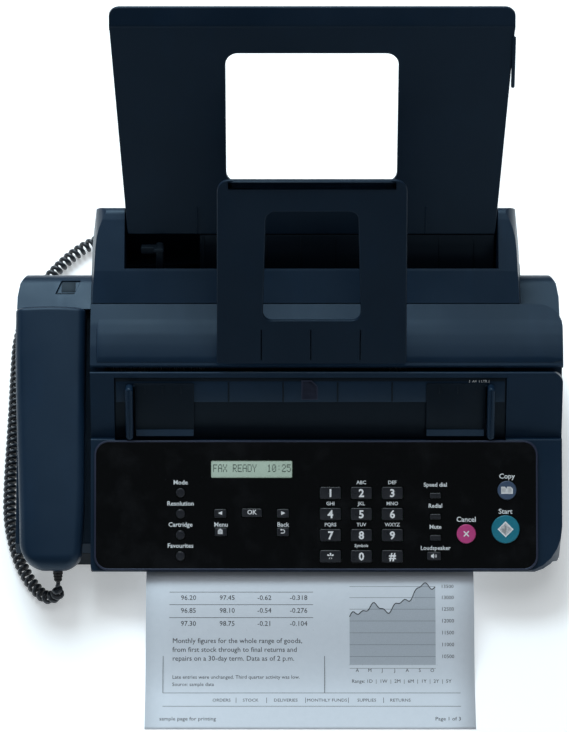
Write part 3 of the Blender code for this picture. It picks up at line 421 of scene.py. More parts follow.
def surface(name, points, material, body, wrap_rows=False, wrap_columns=True, caps=True, **more):
    """A grid surface; where its rows don't wrap, the first and last row are closed by one flat face each."""
    rows, columns = points.shape[:2]
    faces = grid_faces(rows, columns, wrap_rows, wrap_columns)
    if caps and not wrap_rows:
        faces.append(list(range(columns)))
        faces.append(list(range((rows - 1) * columns, rows * columns)))
    mesh = bpy.data.meshes.new(name)
    mesh.from_pydata(points.reshape(-1, 3).tolist(), [], faces)
    return finish_mesh(name, mesh, material, body, **more)


def bundle(name, parts, material, body, **more):
    """Several closed grids as one piece. Each part is a (rows, columns, 3) array whose columns wrap."""
    points, faces, start = [], [], 0
    for part in parts:
        rows, columns = part.shape[:2]
        points.append(part.reshape(-1, 3))
        faces += grid_faces(rows, columns, start=start)
        faces.append(list(range(start, start + columns)))
        faces.append(list(range(start + (rows - 1) * columns, start + rows * columns)))
        start += rows * columns
    mesh = bpy.data.meshes.new(name)
    mesh.from_pydata(np.concatenate(points).tolist(), [], faces)
    return finish_mesh(name, mesh, material, body, **more)


def softened(node, material, width, segments=3, angle=30):
    """A welded copy of a node whose edges sharper than angle are rounded by a bevel."""
    source = frame["nodes"][node]
    mesh = source.data.copy()
    work = bmesh.new()
    work.from_mesh(mesh)
    bmesh.ops.remove_doubles(work, verts=work.verts, dist=1e-5)
    bmesh.ops.dissolve_limit(work, angle_limit=math.radians(0.6), verts=work.verts, edges=work.edges)
    work.to_mesh(mesh)
    work.free()
    piece = finish_mesh(node + "_moulding", mesh, material, source["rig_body"], [node],
                        recalculate=False, angle=angle)
    bevel = piece.modifiers.new("rounded_edges", "BEVEL")
    bevel.width = width
    bevel.segments = segments
    bevel.limit_method = "ANGLE"
    bevel.angle_limit = math.radians(angle)
    bevel.use_clamp_overlap = True
    bevel.harden_normals = False
    bevel.miter_outer = "MITER_ARC"
    even = piece.modifiers.new("even_shading", "WEIGHTED_NORMAL")
    even.keep_sharp = True
    return piece


def rounded(corners, steps=6):
    """Outline through corner points (a, b, radius), each turned by an arc of equal steps."""
    corners = np.asarray(corners, float)
    here = corners[:, :2]
    radius = np.maximum(corners[:, 2], 1e-7)
    back = np.roll(here, 1, axis=0) - here
    ahead = np.roll(here, -1, axis=0) - here
    back /= np.linalg.norm(back, axis=1)[:, None]
    ahead /= np.linalg.norm(ahead, axis=1)[:, None]
    half = np.arccos(np.clip((back * ahead).sum(1), -1, 1)) / 2
    middle = back + ahead
    middle /= np.linalg.norm(middle, axis=1)[:, None]
    centre = here + middle * (radius / np.sin(half))[:, None]
    start = here + back * (radius / np.tan(half))[:, None] - centre
    sign = np.sign(back[:, 1] * ahead[:, 0] - back[:, 0] * ahead[:, 1])
    angle = (sign * (math.pi - 2 * half))[:, None] * np.linspace(0, 1, steps + 1)[None, :]
    c, s = np.cos(angle), np.sin(angle)
    x = start[:, None, 0] * c - start[:, None, 1] * s
    y = start[:, None, 0] * s + start[:, None, 1] * c
    return (np.stack([x, y], axis=-1) + centre[:, None, :]).reshape(-1, 2)


def box_outline(low, high, radius, steps=6):
    return rounded([(low[0], low[1], radius), (high[0], low[1], radius),
                    (high[0], high[1], radius), (low[0], high[1], radius)], steps)


def outward(outline):
    """Unit normals pointing out of a closed outline: its tangent turned a quarter, by the sign of its area."""
    ahead = np.roll(outline, -1, axis=0) - outline
    back = outline - np.roll(outline, 1, axis=0)
    ahead /= np.maximum(np.linalg.norm(ahead, axis=1), 1e-12)[:, None]
    back /= np.maximum(np.linalg.norm(back, axis=1), 1e-12)[:, None]
    tangent = ahead + back
    tangent /= np.maximum(np.linalg.norm(tangent, axis=1), 1e-12)[:, None]
    following = np.roll(outline, -1, axis=0)
    turn = np.sign((outline[:, 0] * following[:, 1] - following[:, 0] * outline[:, 1]).sum())
    return np.stack([tangent[:, 1], -tangent[:, 0]], axis=-1) * turn


def stacked(outline, section, place):
    """An outline carried through (inset, height) pairs: every row is the outline drawn in by the inset."""
    section = np.asarray(section, float)
    flat = outline[None] - outward(outline)[None] * section[:, 0, None, None]
    height = np.broadcast_to(section[:, 1, None], flat.shape[:2])
    return place(np.dstack([flat, height]))


def sideways(points):
    """Maps (back, height, across) to world metres, so that a side view outline is carried along x."""
    p = np.asarray(points, float)
    return np.stack([p[..., 2], FRONT_Y + p[..., 0], p[..., 1]], axis=-1)


def soft_section(low, high, top_round, steps=4, dish=0.0):
    """Side section of a slab as (inset, height) pairs: a quarter-circle top edge, then a dish if asked."""
    turn = np.linspace(0, math.pi / 2, steps + 1)
    rows = [(0.0, low)]
    rows += [(top_round * (1 - math.cos(t)), high - top_round * (1 - math.sin(t))) for t in turn]
    if dish:
        rows.append((top_round + dish * 1.5, high - dish * 0.2))
    return rows


def ring_plate(name, outer, inner, section, place, material, body, **more):
    """A plate with a window. section holds (side, inset, height): side 0 is drawn in from the outer
    outline and side 1 is drawn out from the window's, and the rows close on themselves."""
    side, inset, height = np.asarray(section, float).T
    outer_rows = outer[None] - outward(outer)[None] * inset[:, None, None]
    inner_rows = inner[None] + outward(inner)[None] * inset[:, None, None]
    flat = np.where(side[:, None, None] > 0.5, inner_rows, outer_rows)
    height = np.broadcast_to(height[:, None], flat.shape[:2])
    plate = surface(name, place(np.dstack([flat, height])), material, body, wrap_rows=True, **more)
    plate.modifiers.new("even_shading", "WEIGHTED_NORMAL").keep_sharp = True
    return plate


def plate_section(low, high, edge):
    """Section of a windowed plate: round outer edges, flat face, round window edges, flat back."""
    turn = np.linspace(0, math.pi / 2, 4)
    foot = [(edge * (1 - math.sin(t)), low + edge * (1 - math.cos(t))) for t in turn]
    top = [(edge * (1 - math.cos(t)), high - edge * (1 - math.sin(t))) for t in turn]
    return [(0, *row) for row in foot + top] + [(1, *row) for row in top[::-1] + foot[::-1]]


def bar(low, high, place, edge=0.0004, steps=2):
    """A straight bar between two corners of (across, climb, out), with softened top edges."""
    edge = min(edge, (high[0] - low[0]) / 2.2, (high[1] - low[1]) / 2.2, (high[2] - low[2]) / 1.1)
    outline = box_outline(low[:2], high[:2], edge * 1.5 if edge else 0, 3)
    return stacked(outline, soft_section(low[2], high[2], edge, steps=steps), place)


def round_outline(centre, radius, steps=48):
    angle = np.linspace(0, 2 * math.pi, steps, endpoint=False)
    return np.stack([centre[0] + radius * np.cos(angle), centre[1] + radius * np.sin(angle)], axis=-1)


def disc(centre, radius, low, high, place, edge=0.0004, steps=40):
    return stacked(round_outline(centre, radius, steps), soft_section(low, high, edge), place)


def stroke(path, width, low, high, place):
    """A drawn line of even width as a thin solid: both sides are the path moved half a width along its
    mitred normals."""
    path = np.asarray(path, float)
    run = np.diff(path, axis=0)
    run /= np.linalg.norm(run, axis=1)[:, None]
    before, after = np.vstack([run[:1], run]), np.vstack([run, run[-1:]])
    if np.allclose(path[0], path[-1]):
        before[0], after[-1] = run[-1], run[0]
    middle = before + after
    middle /= np.linalg.norm(middle, axis=1)[:, None]
    reach = width / 2 / np.maximum((middle * before).sum(1), 0.4)
    offset = np.stack([-middle[:, 1], middle[:, 0]], axis=-1) * reach[:, None]
    return stacked(np.vstack([path + offset, (path - offset)[::-1]]), [(0, low), (0, high)], place)


def lettering(name, words, place, height, material, body, thickness=0.00003, bold=0.0):
    """Words as one mesh. Each is (text, across, climb, size, align) and lies on a plane's map at a height."""
    points, faces, start = [], [], 0
    for text, across, climb, size, align in words:
        curve = bpy.data.curves.new(name, "FONT")
        curve.body = text
        curve.size = size
        curve.align_x = align
        curve.align_y = "CENTER"
        curve.resolution_u = 2
        curve.extrude = thickness / 2
        curve.offset = bold
        maker = bpy.data.objects.new(name, curve)
        bpy.context.scene.collection.objects.link(maker)
        mesh = bpy.data.meshes.new_from_object(maker.evaluated_get(bpy.context.evaluated_depsgraph_get()))
        bpy.data.objects.remove(maker)
        bpy.data.curves.remove(curve)
        if not mesh.vertices:
            bpy.data.meshes.remove(mesh)
            continue
        flat = np.empty(len(mesh.vertices) * 3)
        mesh.vertices.foreach_get("co", flat)
        flat = flat.reshape(-1, 3) + (across, climb, height + thickness / 2)
        points.append(place(flat))
        faces += [[v + start for v in polygon.vertices] for polygon in mesh.polygons]
        start += len(flat)
        bpy.data.meshes.remove(mesh)
    mesh = bpy.data.meshes.new(name)
    mesh.from_pydata(np.concatenate(points).tolist(), [], faces)
    return finish_mesh(name, mesh, material, body, recalculate=False)


def paint(material, *nodes):
    """Gives a kept node its finish."""
    for node in nodes:
        for holder in frame["nodes"][node].material_slots:
            holder.material = MATERIALS[material]


def smooth(value):
    """0 below 0, 1 above 1 and the S-curve 3t^2 - 2t^3 between."""
    t = np.clip(value, 0, 1)
    return t * t * (3 - 2 * t)


# ---------------------------------------------------------------- sizes and colours

class FaxSizes(PropertyGroup):
    """Sizes that a user can change before building."""
    casing_round: FloatProperty(name="Casing edge", description="Rounding of the casings' outer edges",
                                default=0.0012, min=0.0002, max=0.003, unit="LENGTH")
    key_round: FloatProperty(name="Key edge", description="Rounding of the key caps' top edges",
                             default=0.0006, min=0.0001, max=0.001, unit="LENGTH")
    wire_radius: FloatProperty(name="Wire radius", description="Radius of the wire in the curly cord",
                               default=0.00145, min=0.0008, max=0.002, unit="LENGTH")
    cord_diameter: FloatProperty(name="Cord diameter", description="Outer diameter of the curly cord's coil",
                                 default=0.0092, min=0.006, max=0.010, unit="LENGTH")
    coil_pitch: FloatProperty(name="Coil pitch", description="Distance between two turns of the cord",
                              default=0.0047, min=0.0032, max=0.008, unit="LENGTH")
    page_width: FloatProperty(name="Page width", description="Width of the printed page",
                              default=0.216, unit="LENGTH")
    page_length: FloatProperty(name="Page length", description="Length of the printed page",
                               default=0.279, unit="LENGTH")
    bed_ribs: IntProperty(name="Bed ribs", description="Ribs across the document bed", default=4, min=2, max=8)
    camera_distance: FloatProperty(name="Camera distance", description="From the camera to the machine",
                                   default=2.6, unit="LENGTH")


class FaxColours(PropertyGroup):
    """Colours that a user can change before building."""
    casing: FloatVectorProperty(name="Casing", description="Colour of the satin casings",
                                default=(0.0050, 0.0165, 0.0370), subtype="COLOR", min=0, max=1)
    recess: FloatVectorProperty(name="Recesses", description="Colour of the darker inner mouldings",
                                default=(0.0030, 0.0060, 0.0110), subtype="COLOR", min=0, max=1)
    panel: FloatVectorProperty(name="Panel", description="Colour of the polished control panel",
                               default=(0.0012, 0.0016, 0.0020), subtype="COLOR", min=0, max=1)
    start: FloatVectorProperty(name="Start key", description="Colour of the Start key",
                               default=(0.010, 0.190, 0.270), subtype="COLOR", min=0, max=1)
    cancel: FloatVectorProperty(name="Cancel key", description="Colour of the Cancel key",
                                default=(0.560, 0.060, 0.240), subtype="COLOR", min=0, max=1)


def sizes():
    return bpy.context.scene.fax_sizes


# ---------------------------------------------------------------- stage

class FAX_OT_stage(Operator):
    """Floor, studio light and camera"""
    bl_idname = "fax.stage"
    bl_label = "Stage"

    def execute(self, context):
        scene = context.scene
        make_materials(scene.fax_colours)
        floor = bpy.data.meshes.new("studio_floor")
        floor.from_pydata([(-4, -4, 0), (4, -4, 0), (4, 6, 0), (-4, 6, 0)], [], [(0, 1, 2, 3)])
        pale = Recipe("studio_floor_paint", Specular_IOR_Level=0.1)
        pale.feed("Base Color", pale.mix(pale.noise(3, 2.0), (0.90, 0.90, 0.90), (0.93, 0.93, 0.93)))
        pale.feed("Roughness", pale.noise(8, 2.0) * 0.1 + 0.85)
        pale.shader.inputs["Emission Color"].default_value = (0.94, 0.98, 1.0, 1.0)
        pale.shader.inputs["Emission Strength"].default_value = 0.35
        floor.materials.append(pale.material)
        ground = bpy.data.objects.new("studio_floor", floor)
        scene.collection.objects.link(ground)

        world = bpy.data.worlds.new("studio_air")
        world.use_nodes = True
        background = world.node_tree.nodes["Background"]
        background.inputs["Color"].default_value = (0.86, 0.93, 1.0, 1.0)
        background.inputs["Strength"].default_value = 0.10
        scene.world = world
        scene.view_settings.view_transform = "Standard"
        middle = Vector((0, 0.02, 0.12))
        lamps = (("rear_softbox", (-0.50, 1.45, 1.95), 1.5, 56, (0.80, 0.93, 1.0)),
                 ("overhead_softbox", (0.3, 0.25, 2.6), 2.0, 15, (0.92, 0.97, 1.0)),
                 ("front_fill", (1.6, -2.2, 1.0), 1.2, 6, (0.98, 0.99, 1.0)),
                 ("left_fill", (-2.3, -0.2, 1.0), 1.2, 5, (0.85, 0.94, 1.0)))
        for name, place, size, energy, colour in lamps:
            data = bpy.data.lights.new(name, "AREA")
            data.shape = "DISK"
            data.size = size
            data.energy = energy
            data.color = colour
            lamp = bpy.data.objects.new(name, data)
            lamp.location = place
            lamp.rotation_euler = (middle - Vector(place)).to_track_quat("-Z", "Y").to_euler()
            scene.collection.objects.link(lamp)

        elevation = math.radians(55)
        target = Vector((-0.0033, 0.100 + FRONT_Y, 0.124))
        away = Vector((0, -math.cos(elevation), math.sin(elevation)))
        eye = bpy.data.cameras.new("studio_camera")
        eye.sensor_fit = "VERTICAL"
        eye.sensor_height = 36
        eye.lens = 195.3 * scene.fax_sizes.camera_distance / 2.6
        eye.clip_end = 20
        camera = bpy.data.objects.new("studio_camera", eye)
        camera.location = target + away * scene.fax_sizes.camera_distance
        camera.rotation_euler = (-away).to_track_quat("-Z", "Y").to_euler()
        scene.collection.objects.link(camera)
        scene.camera = camera
        return {"FINISHED"}


# ---------------------------------------------------------------- handset cord

CORD_REST_Z = 0.0050
JACK_X, JACK_Z = -0.098, 0.0235
RELIEF_X = -0.1530
RELIEF_LENGTH = 0.0115
RELIEF_ANGLE = HANDSET_TILT + math.atan2(-0.0085, -0.019)
RELIEF_FOOT = HANDSET((RELIEF_X, 0.00575, -0.0175))


def relief_point(distance):
    return RELIEF_FOOT + distance * np.array((0, math.cos(RELIEF_ANGLE), math.sin(RELIEF_ANGLE)))


def cord_route():
    """The curly cord's middle line from the handset to the rear jack, as chosen points in world metres."""
    rest = CORD_REST_Z
    laid = np.array([(-0.1545, -0.0068, 0.0118), (-0.1615, -0.0052, 0.0070), (-0.1695, 0.0035, rest),
                     (-0.1775, 0.0175, rest), (-0.1835, 0.0350, rest), (-0.1880, 0.0580, rest),
                     (-0.1890, 0.0850, rest), (-0.1887, 0.1150, rest), (-0.1883, 0.1450, rest),
                     (-0.1882, 0.1750, rest), (-0.1875, 0.2020, rest), (-0.1835, 0.2240, rest),
                     (-0.1745, 0.2480, rest), (-0.1600, 0.2700, rest), (-0.1420, 0.2870, rest),
                     (-0.1200, 0.2960, rest), (-0.0990, 0.2905, rest), (-0.0855, 0.2740, rest + 0.0015),
                     (-0.0905, 0.2560, rest + 0.0085), (JACK_X + 0.0010, 0.2420, JACK_Z - 0.0025),
                     (JACK_X, 0.2287, JACK_Z)])
    laid[:, 1] += FRONT_Y
    return np.vstack([relief_point(RELIEF_LENGTH + 0.0008), relief_point(RELIEF_LENGTH + 0.0055), laid])


def even_line(route, count):
    """Evenly spaced points on the Catmull-Rom curve through a route."""
    ends = np.vstack([2 * route[0] - route[1], route, 2 * route[-1] - route[-2]])
    a, b, c, d = (ends[shift:len(ends) - 3 + shift, None] for shift in range(4))
    t = np.linspace(0, 1, 24, endpoint=False)[None, :, None]
    fine = 0.5 * (2 * b + (c - a) * t + (2 * a - 5 * b + 4 * c - d) * t ** 2
                  + (3 * b - a - 3 * c + d) * t ** 3)
    fine = np.vstack([fine.reshape(-1, 3), route[-1]])
    reach = np.concatenate([[0], np.cumsum(np.linalg.norm(np.diff(fine, axis=0), axis=1))])
    even = np.linspace(0, reach[-1], count)
    return np.stack([np.interp(even, reach, fine[:, axis]) for axis in range(3)], axis=-1), reach[-1]


def frames_along(line):
    """Level side and upper normal at each point of a line that is nowhere upright."""
    tangent = np.gradient(line, axis=0)
    tangent /= np.linalg.norm(tangent, axis=1)[:, None]
    side = np.cross(UP, tangent)
    side /= np.linalg.norm(side, axis=1)[:, None]
    return side, np.cross(tangent, side)


def tube(line, radius, sides=8):
    """Rings of points round a line. Each ring lies across the tangent, on axes carried from ring to ring."""
    tangent = np.gradient(line, axis=0)
    tangent /= np.linalg.norm(tangent, axis=1)[:, None]
    side = np.cross(tangent, np.roll(tangent, -1, axis=0) + UP * 1e-3)
    side /= np.maximum(np.linalg.norm(side, axis=1), 1e-9)[:, None]
    normal = np.cross(tangent, side)
    angle = np.linspace(0, 2 * math.pi, sides, endpoint=False)
    radius = np.broadcast_to(radius, len(line))[:, None, None]
    return line[:, None] + radius * (np.cos(angle)[None, :, None] * side[:, None]
                                     + np.sin(angle)[None, :, None] * normal[:, None])


class FAX_OT_cord(Operator):
    """Curly handset cord with its strain relief and plug"""
    bl_idname = "fax.cord"
    bl_label = "Handset cord"

    def execute(self, context):
        size = sizes()
        wire = size.wire_radius
        coil = size.cord_diameter / 2 - wire
        middle, length = even_line(cord_route(), 160)
        turns = round(length / size.coil_pitch)
        per_turn = 14
        line, _ = even_line(cord_route(), turns * per_turn + 1)
        side, normal = frames_along(line)
        share = np.linspace(0, 1, len(line))
        # The coil opens out of the straight lead at one end and closes into it at the other
        opening, closing = 0.009, 0.011
        ramp = smooth(share * length / opening) * smooth((1 - share) * length / closing)
        phase = 2 * math.pi * turns * share
        reach = (coil * ramp)[:, None]
        helix = line + reach * (np.cos(phase)[:, None] * side + np.sin(phase)[:, None] * normal)
        # The ring round each point lies on the level side of the helix and its outward arm
        tangent = np.gradient(helix, axis=0)
        tangent /= np.linalg.norm(tangent, axis=1)[:, None]
        arm = np.cos(phase)[:, None] * side + np.sin(phase)[:, None] * normal
        arm -= (arm * tangent).sum(1)[:, None] * tangent
        arm /= np.linalg.norm(arm, axis=1)[:, None]
        third = np.cross(tangent, arm)
        angle = np.linspace(0, 2 * math.pi, 8, endpoint=False)
        rings = helix[:, None] + wire * (np.cos(angle)[None, :, None] * arm[:, None]
                                         + np.sin(angle)[None, :, None] * third[:, None])
        cord = surface("curly_cord", rings, "cord", None, nodes=["handset_cord"], angle=60)
        tuple(middle[0])
        tuple(middle[26])
        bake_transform(cord)

        # Distance along the sleeve and its radius there: a collar, then ribs that shrink towards the lead
        steps = [(0.0003, 0.0038), (0.0009, 0.0042), (0.0022, 0.0042), (0.0027, 0.0033)]
        for rib in range(4):
            rib_start, rib_radius = 0.0032 + 0.0021 * rib, 0.0036 - 0.0003 * rib
            steps += [(rib_start, rib_radius - 0.0003), (rib_start + 0.0003, rib_radius),
                      (rib_start + 0.0013, rib_radius), (rib_start + 0.0016, rib_radius - 0.0004)]
        steps = np.array(steps + [(RELIEF_LENGTH, 0.0021)])
        shaft = np.array([relief_point(distance) for distance, _ in steps])
        relief = surface("strain_relief_sleeve", tube(shaft, steps[:, 1], 20), "rubber", "handset",
                         nodes=["cord_strain_relief"], angle=40)
        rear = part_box("cord_plug")
        low, high = rear[0], rear[1]
        outline = box_outline((low.x + 0.0004, low.z + 0.0004), (high.x - 0.0004, high.z - 0.0004), 0.0009)
        taper = [(0.0006, low.y), (0.0001, low.y + 0.0006), (0.0001, high.y - 0.0050),
                 (0.0012, high.y - 0.0030), (0.0022, high.y - 0.0008), (0.0028, high.y)]

        def upright(points):
            return points[..., (0, 2, 1)]
        body = stacked(outline, taper, upright)
        latch_outline = box_outline((JACK_X - 0.0016, high.z - 0.0003),
                                    (JACK_X + 0.0016, high.z + 0.0009), 0.0004)
        latch = stacked(latch_outline, [(0.0004, low.y + 0.0060), (0, low.y + 0.0064), (0, high.y - 0.0060),
                                        (0.0004, high.y - 0.0052)], upright)
        plug = bundle("handset_plug", [body, latch], "cord", "base", nodes=["cord_plug"])
        tuple(middle[0])
        return {"FINISHED"}


# ---------------------------------------------------------------- casings

class FAX_OT_casings(Operator):
    """Base, upper casing, rear housing, handset bay and feet"""
    bl_idname = "fax.casings"
    bl_label = "Casings"

    def execute(self, context):
        edge = sizes().casing_round
        softened("base_casing", "dark", 0.0007, 2)
        softened("upper_casing", "navy", edge)
        softened("rear_housing", "navy", edge)
        softened("handset_cradle", "navy", edge)
        paint("rubber", "foot_front_left", "foot_front_right", "foot_rear_left", "foot_rear_right")
        paint("key", "hook_switch")
        pocket = [bar((-0.1562, 0.1723, 0.1030), (-0.1437, 0.1735, 0.1046), FLOOR, 0.0003),
                  bar((-0.1527, 0.1745, 0.1030), (-0.1433, 0.1826, 0.1038), FLOOR, 0.0002)]
        bundle("shoulder_pocket_steps", pocket, "dark", "base")
        return {"FINISHED"}


class FAX_OT_top_cover(Operator):
    """Top cover with its raised inner panel"""
    bl_idname = "fax.top_cover"
    bl_label = "Top cover"

    def execute(self, context):
        softened("top_cover", "navy", sizes().casing_round)
        box_low, box_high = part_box("top_cover")
        left, right = box_low.x + 0.0042, box_high.x - 0.0006
        # Side view of the cover's back from its front edge to its rear
        back = np.array([(0.1079, 0.1168), (0.1130, 0.1194), (0.1180, 0.1216), (0.1250, 0.1243),
                         (0.1320, 0.1263), (0.1400, 0.1280), (0.1461, 0.1290)])
        corner_radius, nose_radius = 0.0154, 0.0010
        across = np.concatenate([[left, left + 0.0003, left + 0.0008],
                                 np.linspace(left + 0.004, right - 0.018, 12),
                                 right - corner_radius * (1 - np.sin(np.linspace(0, 1.54, 14)))])
        shrink = np.concatenate([[0.0008, 0.0002, 0], np.zeros(len(across) - 3)])
        corner = np.clip(across - (right - corner_radius), 0, None)
        rear = back[-1, 0] - corner_radius + np.sqrt(corner_radius ** 2 - corner ** 2)
        rows = []
        for x, less, limit in zip(across, shrink, rear):
            y = np.minimum(np.linspace(back[0, 0], limit, 24), limit)
            skin = np.interp(y, back[:, 0], back[:, 1])
            rise = 0.0014 * (1 - smooth((y - 0.116) / 0.024)) - 0.0003 - less
            nose = np.clip(y - back[0, 0], 0, nose_radius)
            rise = rise - (nose_radius - np.sqrt(nose_radius ** 2 - (nose_radius - nose) ** 2))
            loop = np.vstack([np.stack([y, skin + rise], axis=-1),
                              np.stack([y, skin - 0.0016], axis=-1)[::-1]])
            rows.append(np.column_stack([loop, np.full(len(loop), x)]))
        panel = sideways(np.array(rows))
        surface("cover_inner_panel", panel, "navy", "base", angle=40)
        return {"FINISHED"}


class FAX_OT_paper_slot(Operator):
    """Paper chute with its ribs and the side guide in the rear slot"""
    bl_idname = "fax.paper_slot"
    bl_label = "Paper slot"

    def execute(self, context):
        low, high = -0.0595, 0.1358
        plate = [bar((low, -0.046, -0.0028), (high, -0.0006, 0.0), TRAY, 0.0006)]
        plate.append(bar((low + 0.0004, -0.044, -0.0002), (low + 0.0030, -0.0010, 0.0003), TRAY, 0.0002))
        plate += [bar((x, -0.030, -0.0002), (x + 0.0012, -0.0020, 0.0003), TRAY, 0.0002)
                  for x in np.linspace(low + 0.020, high - 0.014, 8)]
        bundle("paper_chute", plate, "dark", "base", nodes=["feed_plate"])
        lever = [bar((-0.0885, -0.030, 0.0004), (-0.0835, -0.006, 0.009), TRAY, 0.0009, 3),
                 bar((-0.0985, -0.012, 0.0014), (-0.0860, -0.007, 0.006), TRAY, 0.0008, 3),
                 bar((-0.0900, -0.0085, 0.0050), (-0.0830, -0.0062, 0.0104), TRAY, 0.0007, 3)]
        bundle("paper_side_guide", lever, "dark", "paper_guide", nodes=["paper_guide"])
        return {"FINISHED"}


class FAX_OT_sockets(Operator):
    """Frames, contacts and pins of the rear sockets"""
    bl_idname = "fax.sockets"
    bl_label = "Rear sockets"

    def execute(self, context):
        wall_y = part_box("base_casing")[1].y

        def rear(points):
            """Maps (across, height, out of the rear wall) to world metres."""
            p = np.asarray(points, float)
            return np.stack([p[..., 0], wall_y + p[..., 2], p[..., 1]], axis=-1)
        frames, contacts, pins = [], [], []
        holes = [((-0.0360, 0.0180), (-0.0240, 0.0290)), ((-0.0160, 0.0180), (-0.0040, 0.0290)),
                 ((0.1000, 0.0150), (0.1240, 0.0310))]
        section = plate_section(-0.0060, 0.0004, 0.0003)
        for index, (low, high) in enumerate(holes):
            outer = box_outline((low[0] - 0.0011, low[1] - 0.0011),
                                (high[0] + 0.0011, high[1] + 0.0011), 0.0010)
            inner = box_outline((low[0] + 0.0006, low[1] + 0.0006),
                                (high[0] - 0.0006, high[1] - 0.0006), 0.0004)
            ring_plate("socket_frame_%d" % (index + 1), outer, inner, section, rear, "dark", "base")
            if index < 2:
                middle = (low[0] + high[0]) / 2
                contacts += [bar((x - 0.0002, low[1] + 0.0075, -0.0050),
                                 (x + 0.0002, high[1] - 0.0008, -0.0012), rear, 0.0001)
                             for x in middle + np.linspace(-0.0016, 0.0016, 4)]
            else:
                pins += [disc((x, 0.0230), 0.0012, -0.0058, -0.0006, rear, steps=16)
                         for x in (0.1070, 0.1170)]
                pins.append(bar((0.1008, 0.0158, -0.0066), (0.1232, 0.0302, -0.0058), rear, 0.0001))
        bundle("line_socket_contacts", contacts, "contact", "base")
        bundle("power_inlet_pins", pins, "steel", "base")
        # The vent slots are not cut: thin black rubber bars, just proud of the rear wall, paint the shade inside
        # each slot.
        vent_shade_bars = [bar((x, 0.0365, -0.0001), (x + 0.0016, 0.0490, 0.00022), rear, 0.0001)
                 for x in np.arange(0.040, 0.140, 0.0048)]
        bundle("rear_vent_slot_shade", vent_shade_bars, "rubber", "base")
        return {"FINISHED"}


# ---------------------------------------------------------------- handset

HANDSET_LENGTH = 0.176
HANDSET_LEFT, HANDSET_RIGHT = -0.1818, -0.1356


def handset_section(along):
    """Left, right, top and underside of the handset at distances along it from its front end."""
    rear = HANDSET_LENGTH - along

    def round_in(distance, radius):
        return radius - np.sqrt(radius ** 2 - np.clip(radius - distance, 0, radius) ** 2)
    left = (HANDSET_LEFT + 0.0044 * (1 - smooth(along / (HANDSET_LENGTH * 0.9)))
            + round_in(along, 0.0190) + round_in(rear, 0.0022))
    right = (HANDSET_RIGHT - 0.0020 * (1 - smooth(along / 0.055))
             - round_in(along, 0.0130) - round_in(rear, 0.0022))
    top = 0.0009 * np.sin(np.pi * along / HANDSET_LENGTH) - round_in(along, 0.0100) - round_in(rear, 0.0026)
    grip = smooth((along - 0.038) / 0.016) * smooth((HANDSET_LENGTH - 0.036 - along) / 0.016)
    under = -0.0268 + 0.0100 * grip
    under = under + 0.0148 * (1 - smooth(along / 0.0125)) + 0.0060 * (1 - smooth(rear / 0.006))
    return left, right, top, under


class FAX_OT_handset(Operator):
    """Handset with its end, sound pads and sound holes painted as dark discs"""
    bl_idname = "fax.handset"
    bl_label = "Handset"

    def execute(self, context):
        turn = np.linspace(0, math.pi, 121)
        along = HANDSET_LENGTH * (0.5 - 0.5 * np.cos(turn)) * 0.9985 + 0.0006
        left, right, top, under = handset_section(along)
        steps = 8
        quarter = np.linspace(0, math.pi / 2, steps)
        round_top, round_foot = 0.0052, 0.0028
        # Each section is a rectangle whose top corners have one radius and whose lower corners another
        limit = np.minimum((right - left) / 2.05, (top - under) / 2.05)
        upper = np.minimum(round_top, limit)[:, None]
        lower = np.minimum(round_foot, limit)[:, None]
        cosine, sine = np.cos(quarter)[None], np.sin(quarter)[None]
        l, r, t, u = (side[:, None] for side in (left, right, top, under))
        crown = 0.0011
        spread = np.linspace(0, 1, 14)[None, 1:-1]
        top_x = (r - upper) * (1 - spread) + (l + upper) * spread
        across = np.hstack([r - upper + upper * cosine, top_x, l + upper - upper * sine,
                            l + lower - lower * cosine, r - lower + lower * sine])
        up = np.hstack([t - upper + upper * sine, t + 0 * top_x, t - upper + upper * cosine,
                        u + lower - lower * sine, u + lower - lower * cosine])
        centre, half = (l + r) / 2, (r - l) / 2
        share = np.clip((across - centre) / half, -1, 1)
        up = up - crown * share ** 2 * smooth((up - u) / (t - u))
        lengthwise = along[:, None] - 0.0008 * share ** 2 * smooth((along[:, None] - 0.10) / 0.07)
        body = HANDSET(np.dstack([across, np.broadcast_to(lengthwise, across.shape), up]))
        piece = surface("handset_shell", body, "navy", "handset", nodes=["handset"], angle=50)

        holes, pads = [], []
        spots = [(0, 0)]
        for radius, count in ((0.0042, 6), (0.0084, 12)):
            spots += round_outline((0, 0), radius, count).tolist()
        middle = (HANDSET_LEFT + HANDSET_RIGHT) / 2
        for distance, count in ((0.026, 7), (0.152, 19)):
            pads.append(disc((middle, distance), 0.0125, -0.0272, -0.0262, HANDSET, 0.0004))
            # The sound holes are not cut: black discs of page ink, just proud of the pads, paint the shade inside
            # each hole.
            holes += [disc((middle + a, distance + b), 0.0009, -0.02726, -0.0268, HANDSET, 0.00002, 14)
                      for a, b in spots[:count]]
        bundle("handset_sound_pads", pads, "dark", "handset")
        bundle("handset_sound_hole_shade", holes, "ink", "handset")
        return {"FINISHED"}


# ---------------------------------------------------------------- front unit

FASCIA_TOP = 0.0019
FASCIA_LOW_CORNER = (0.0175 - 0.146, 0.0007)
FASCIA_HIGH_CORNER = (0.0175 + 0.146, 0.0857)
# Across and climb of the key columns and rows on the panel
KEY_ROW = 0.0139
MODE_X = -0.0719
DIGIT_X, DIGIT_PITCH = 0.0474, 0.0204


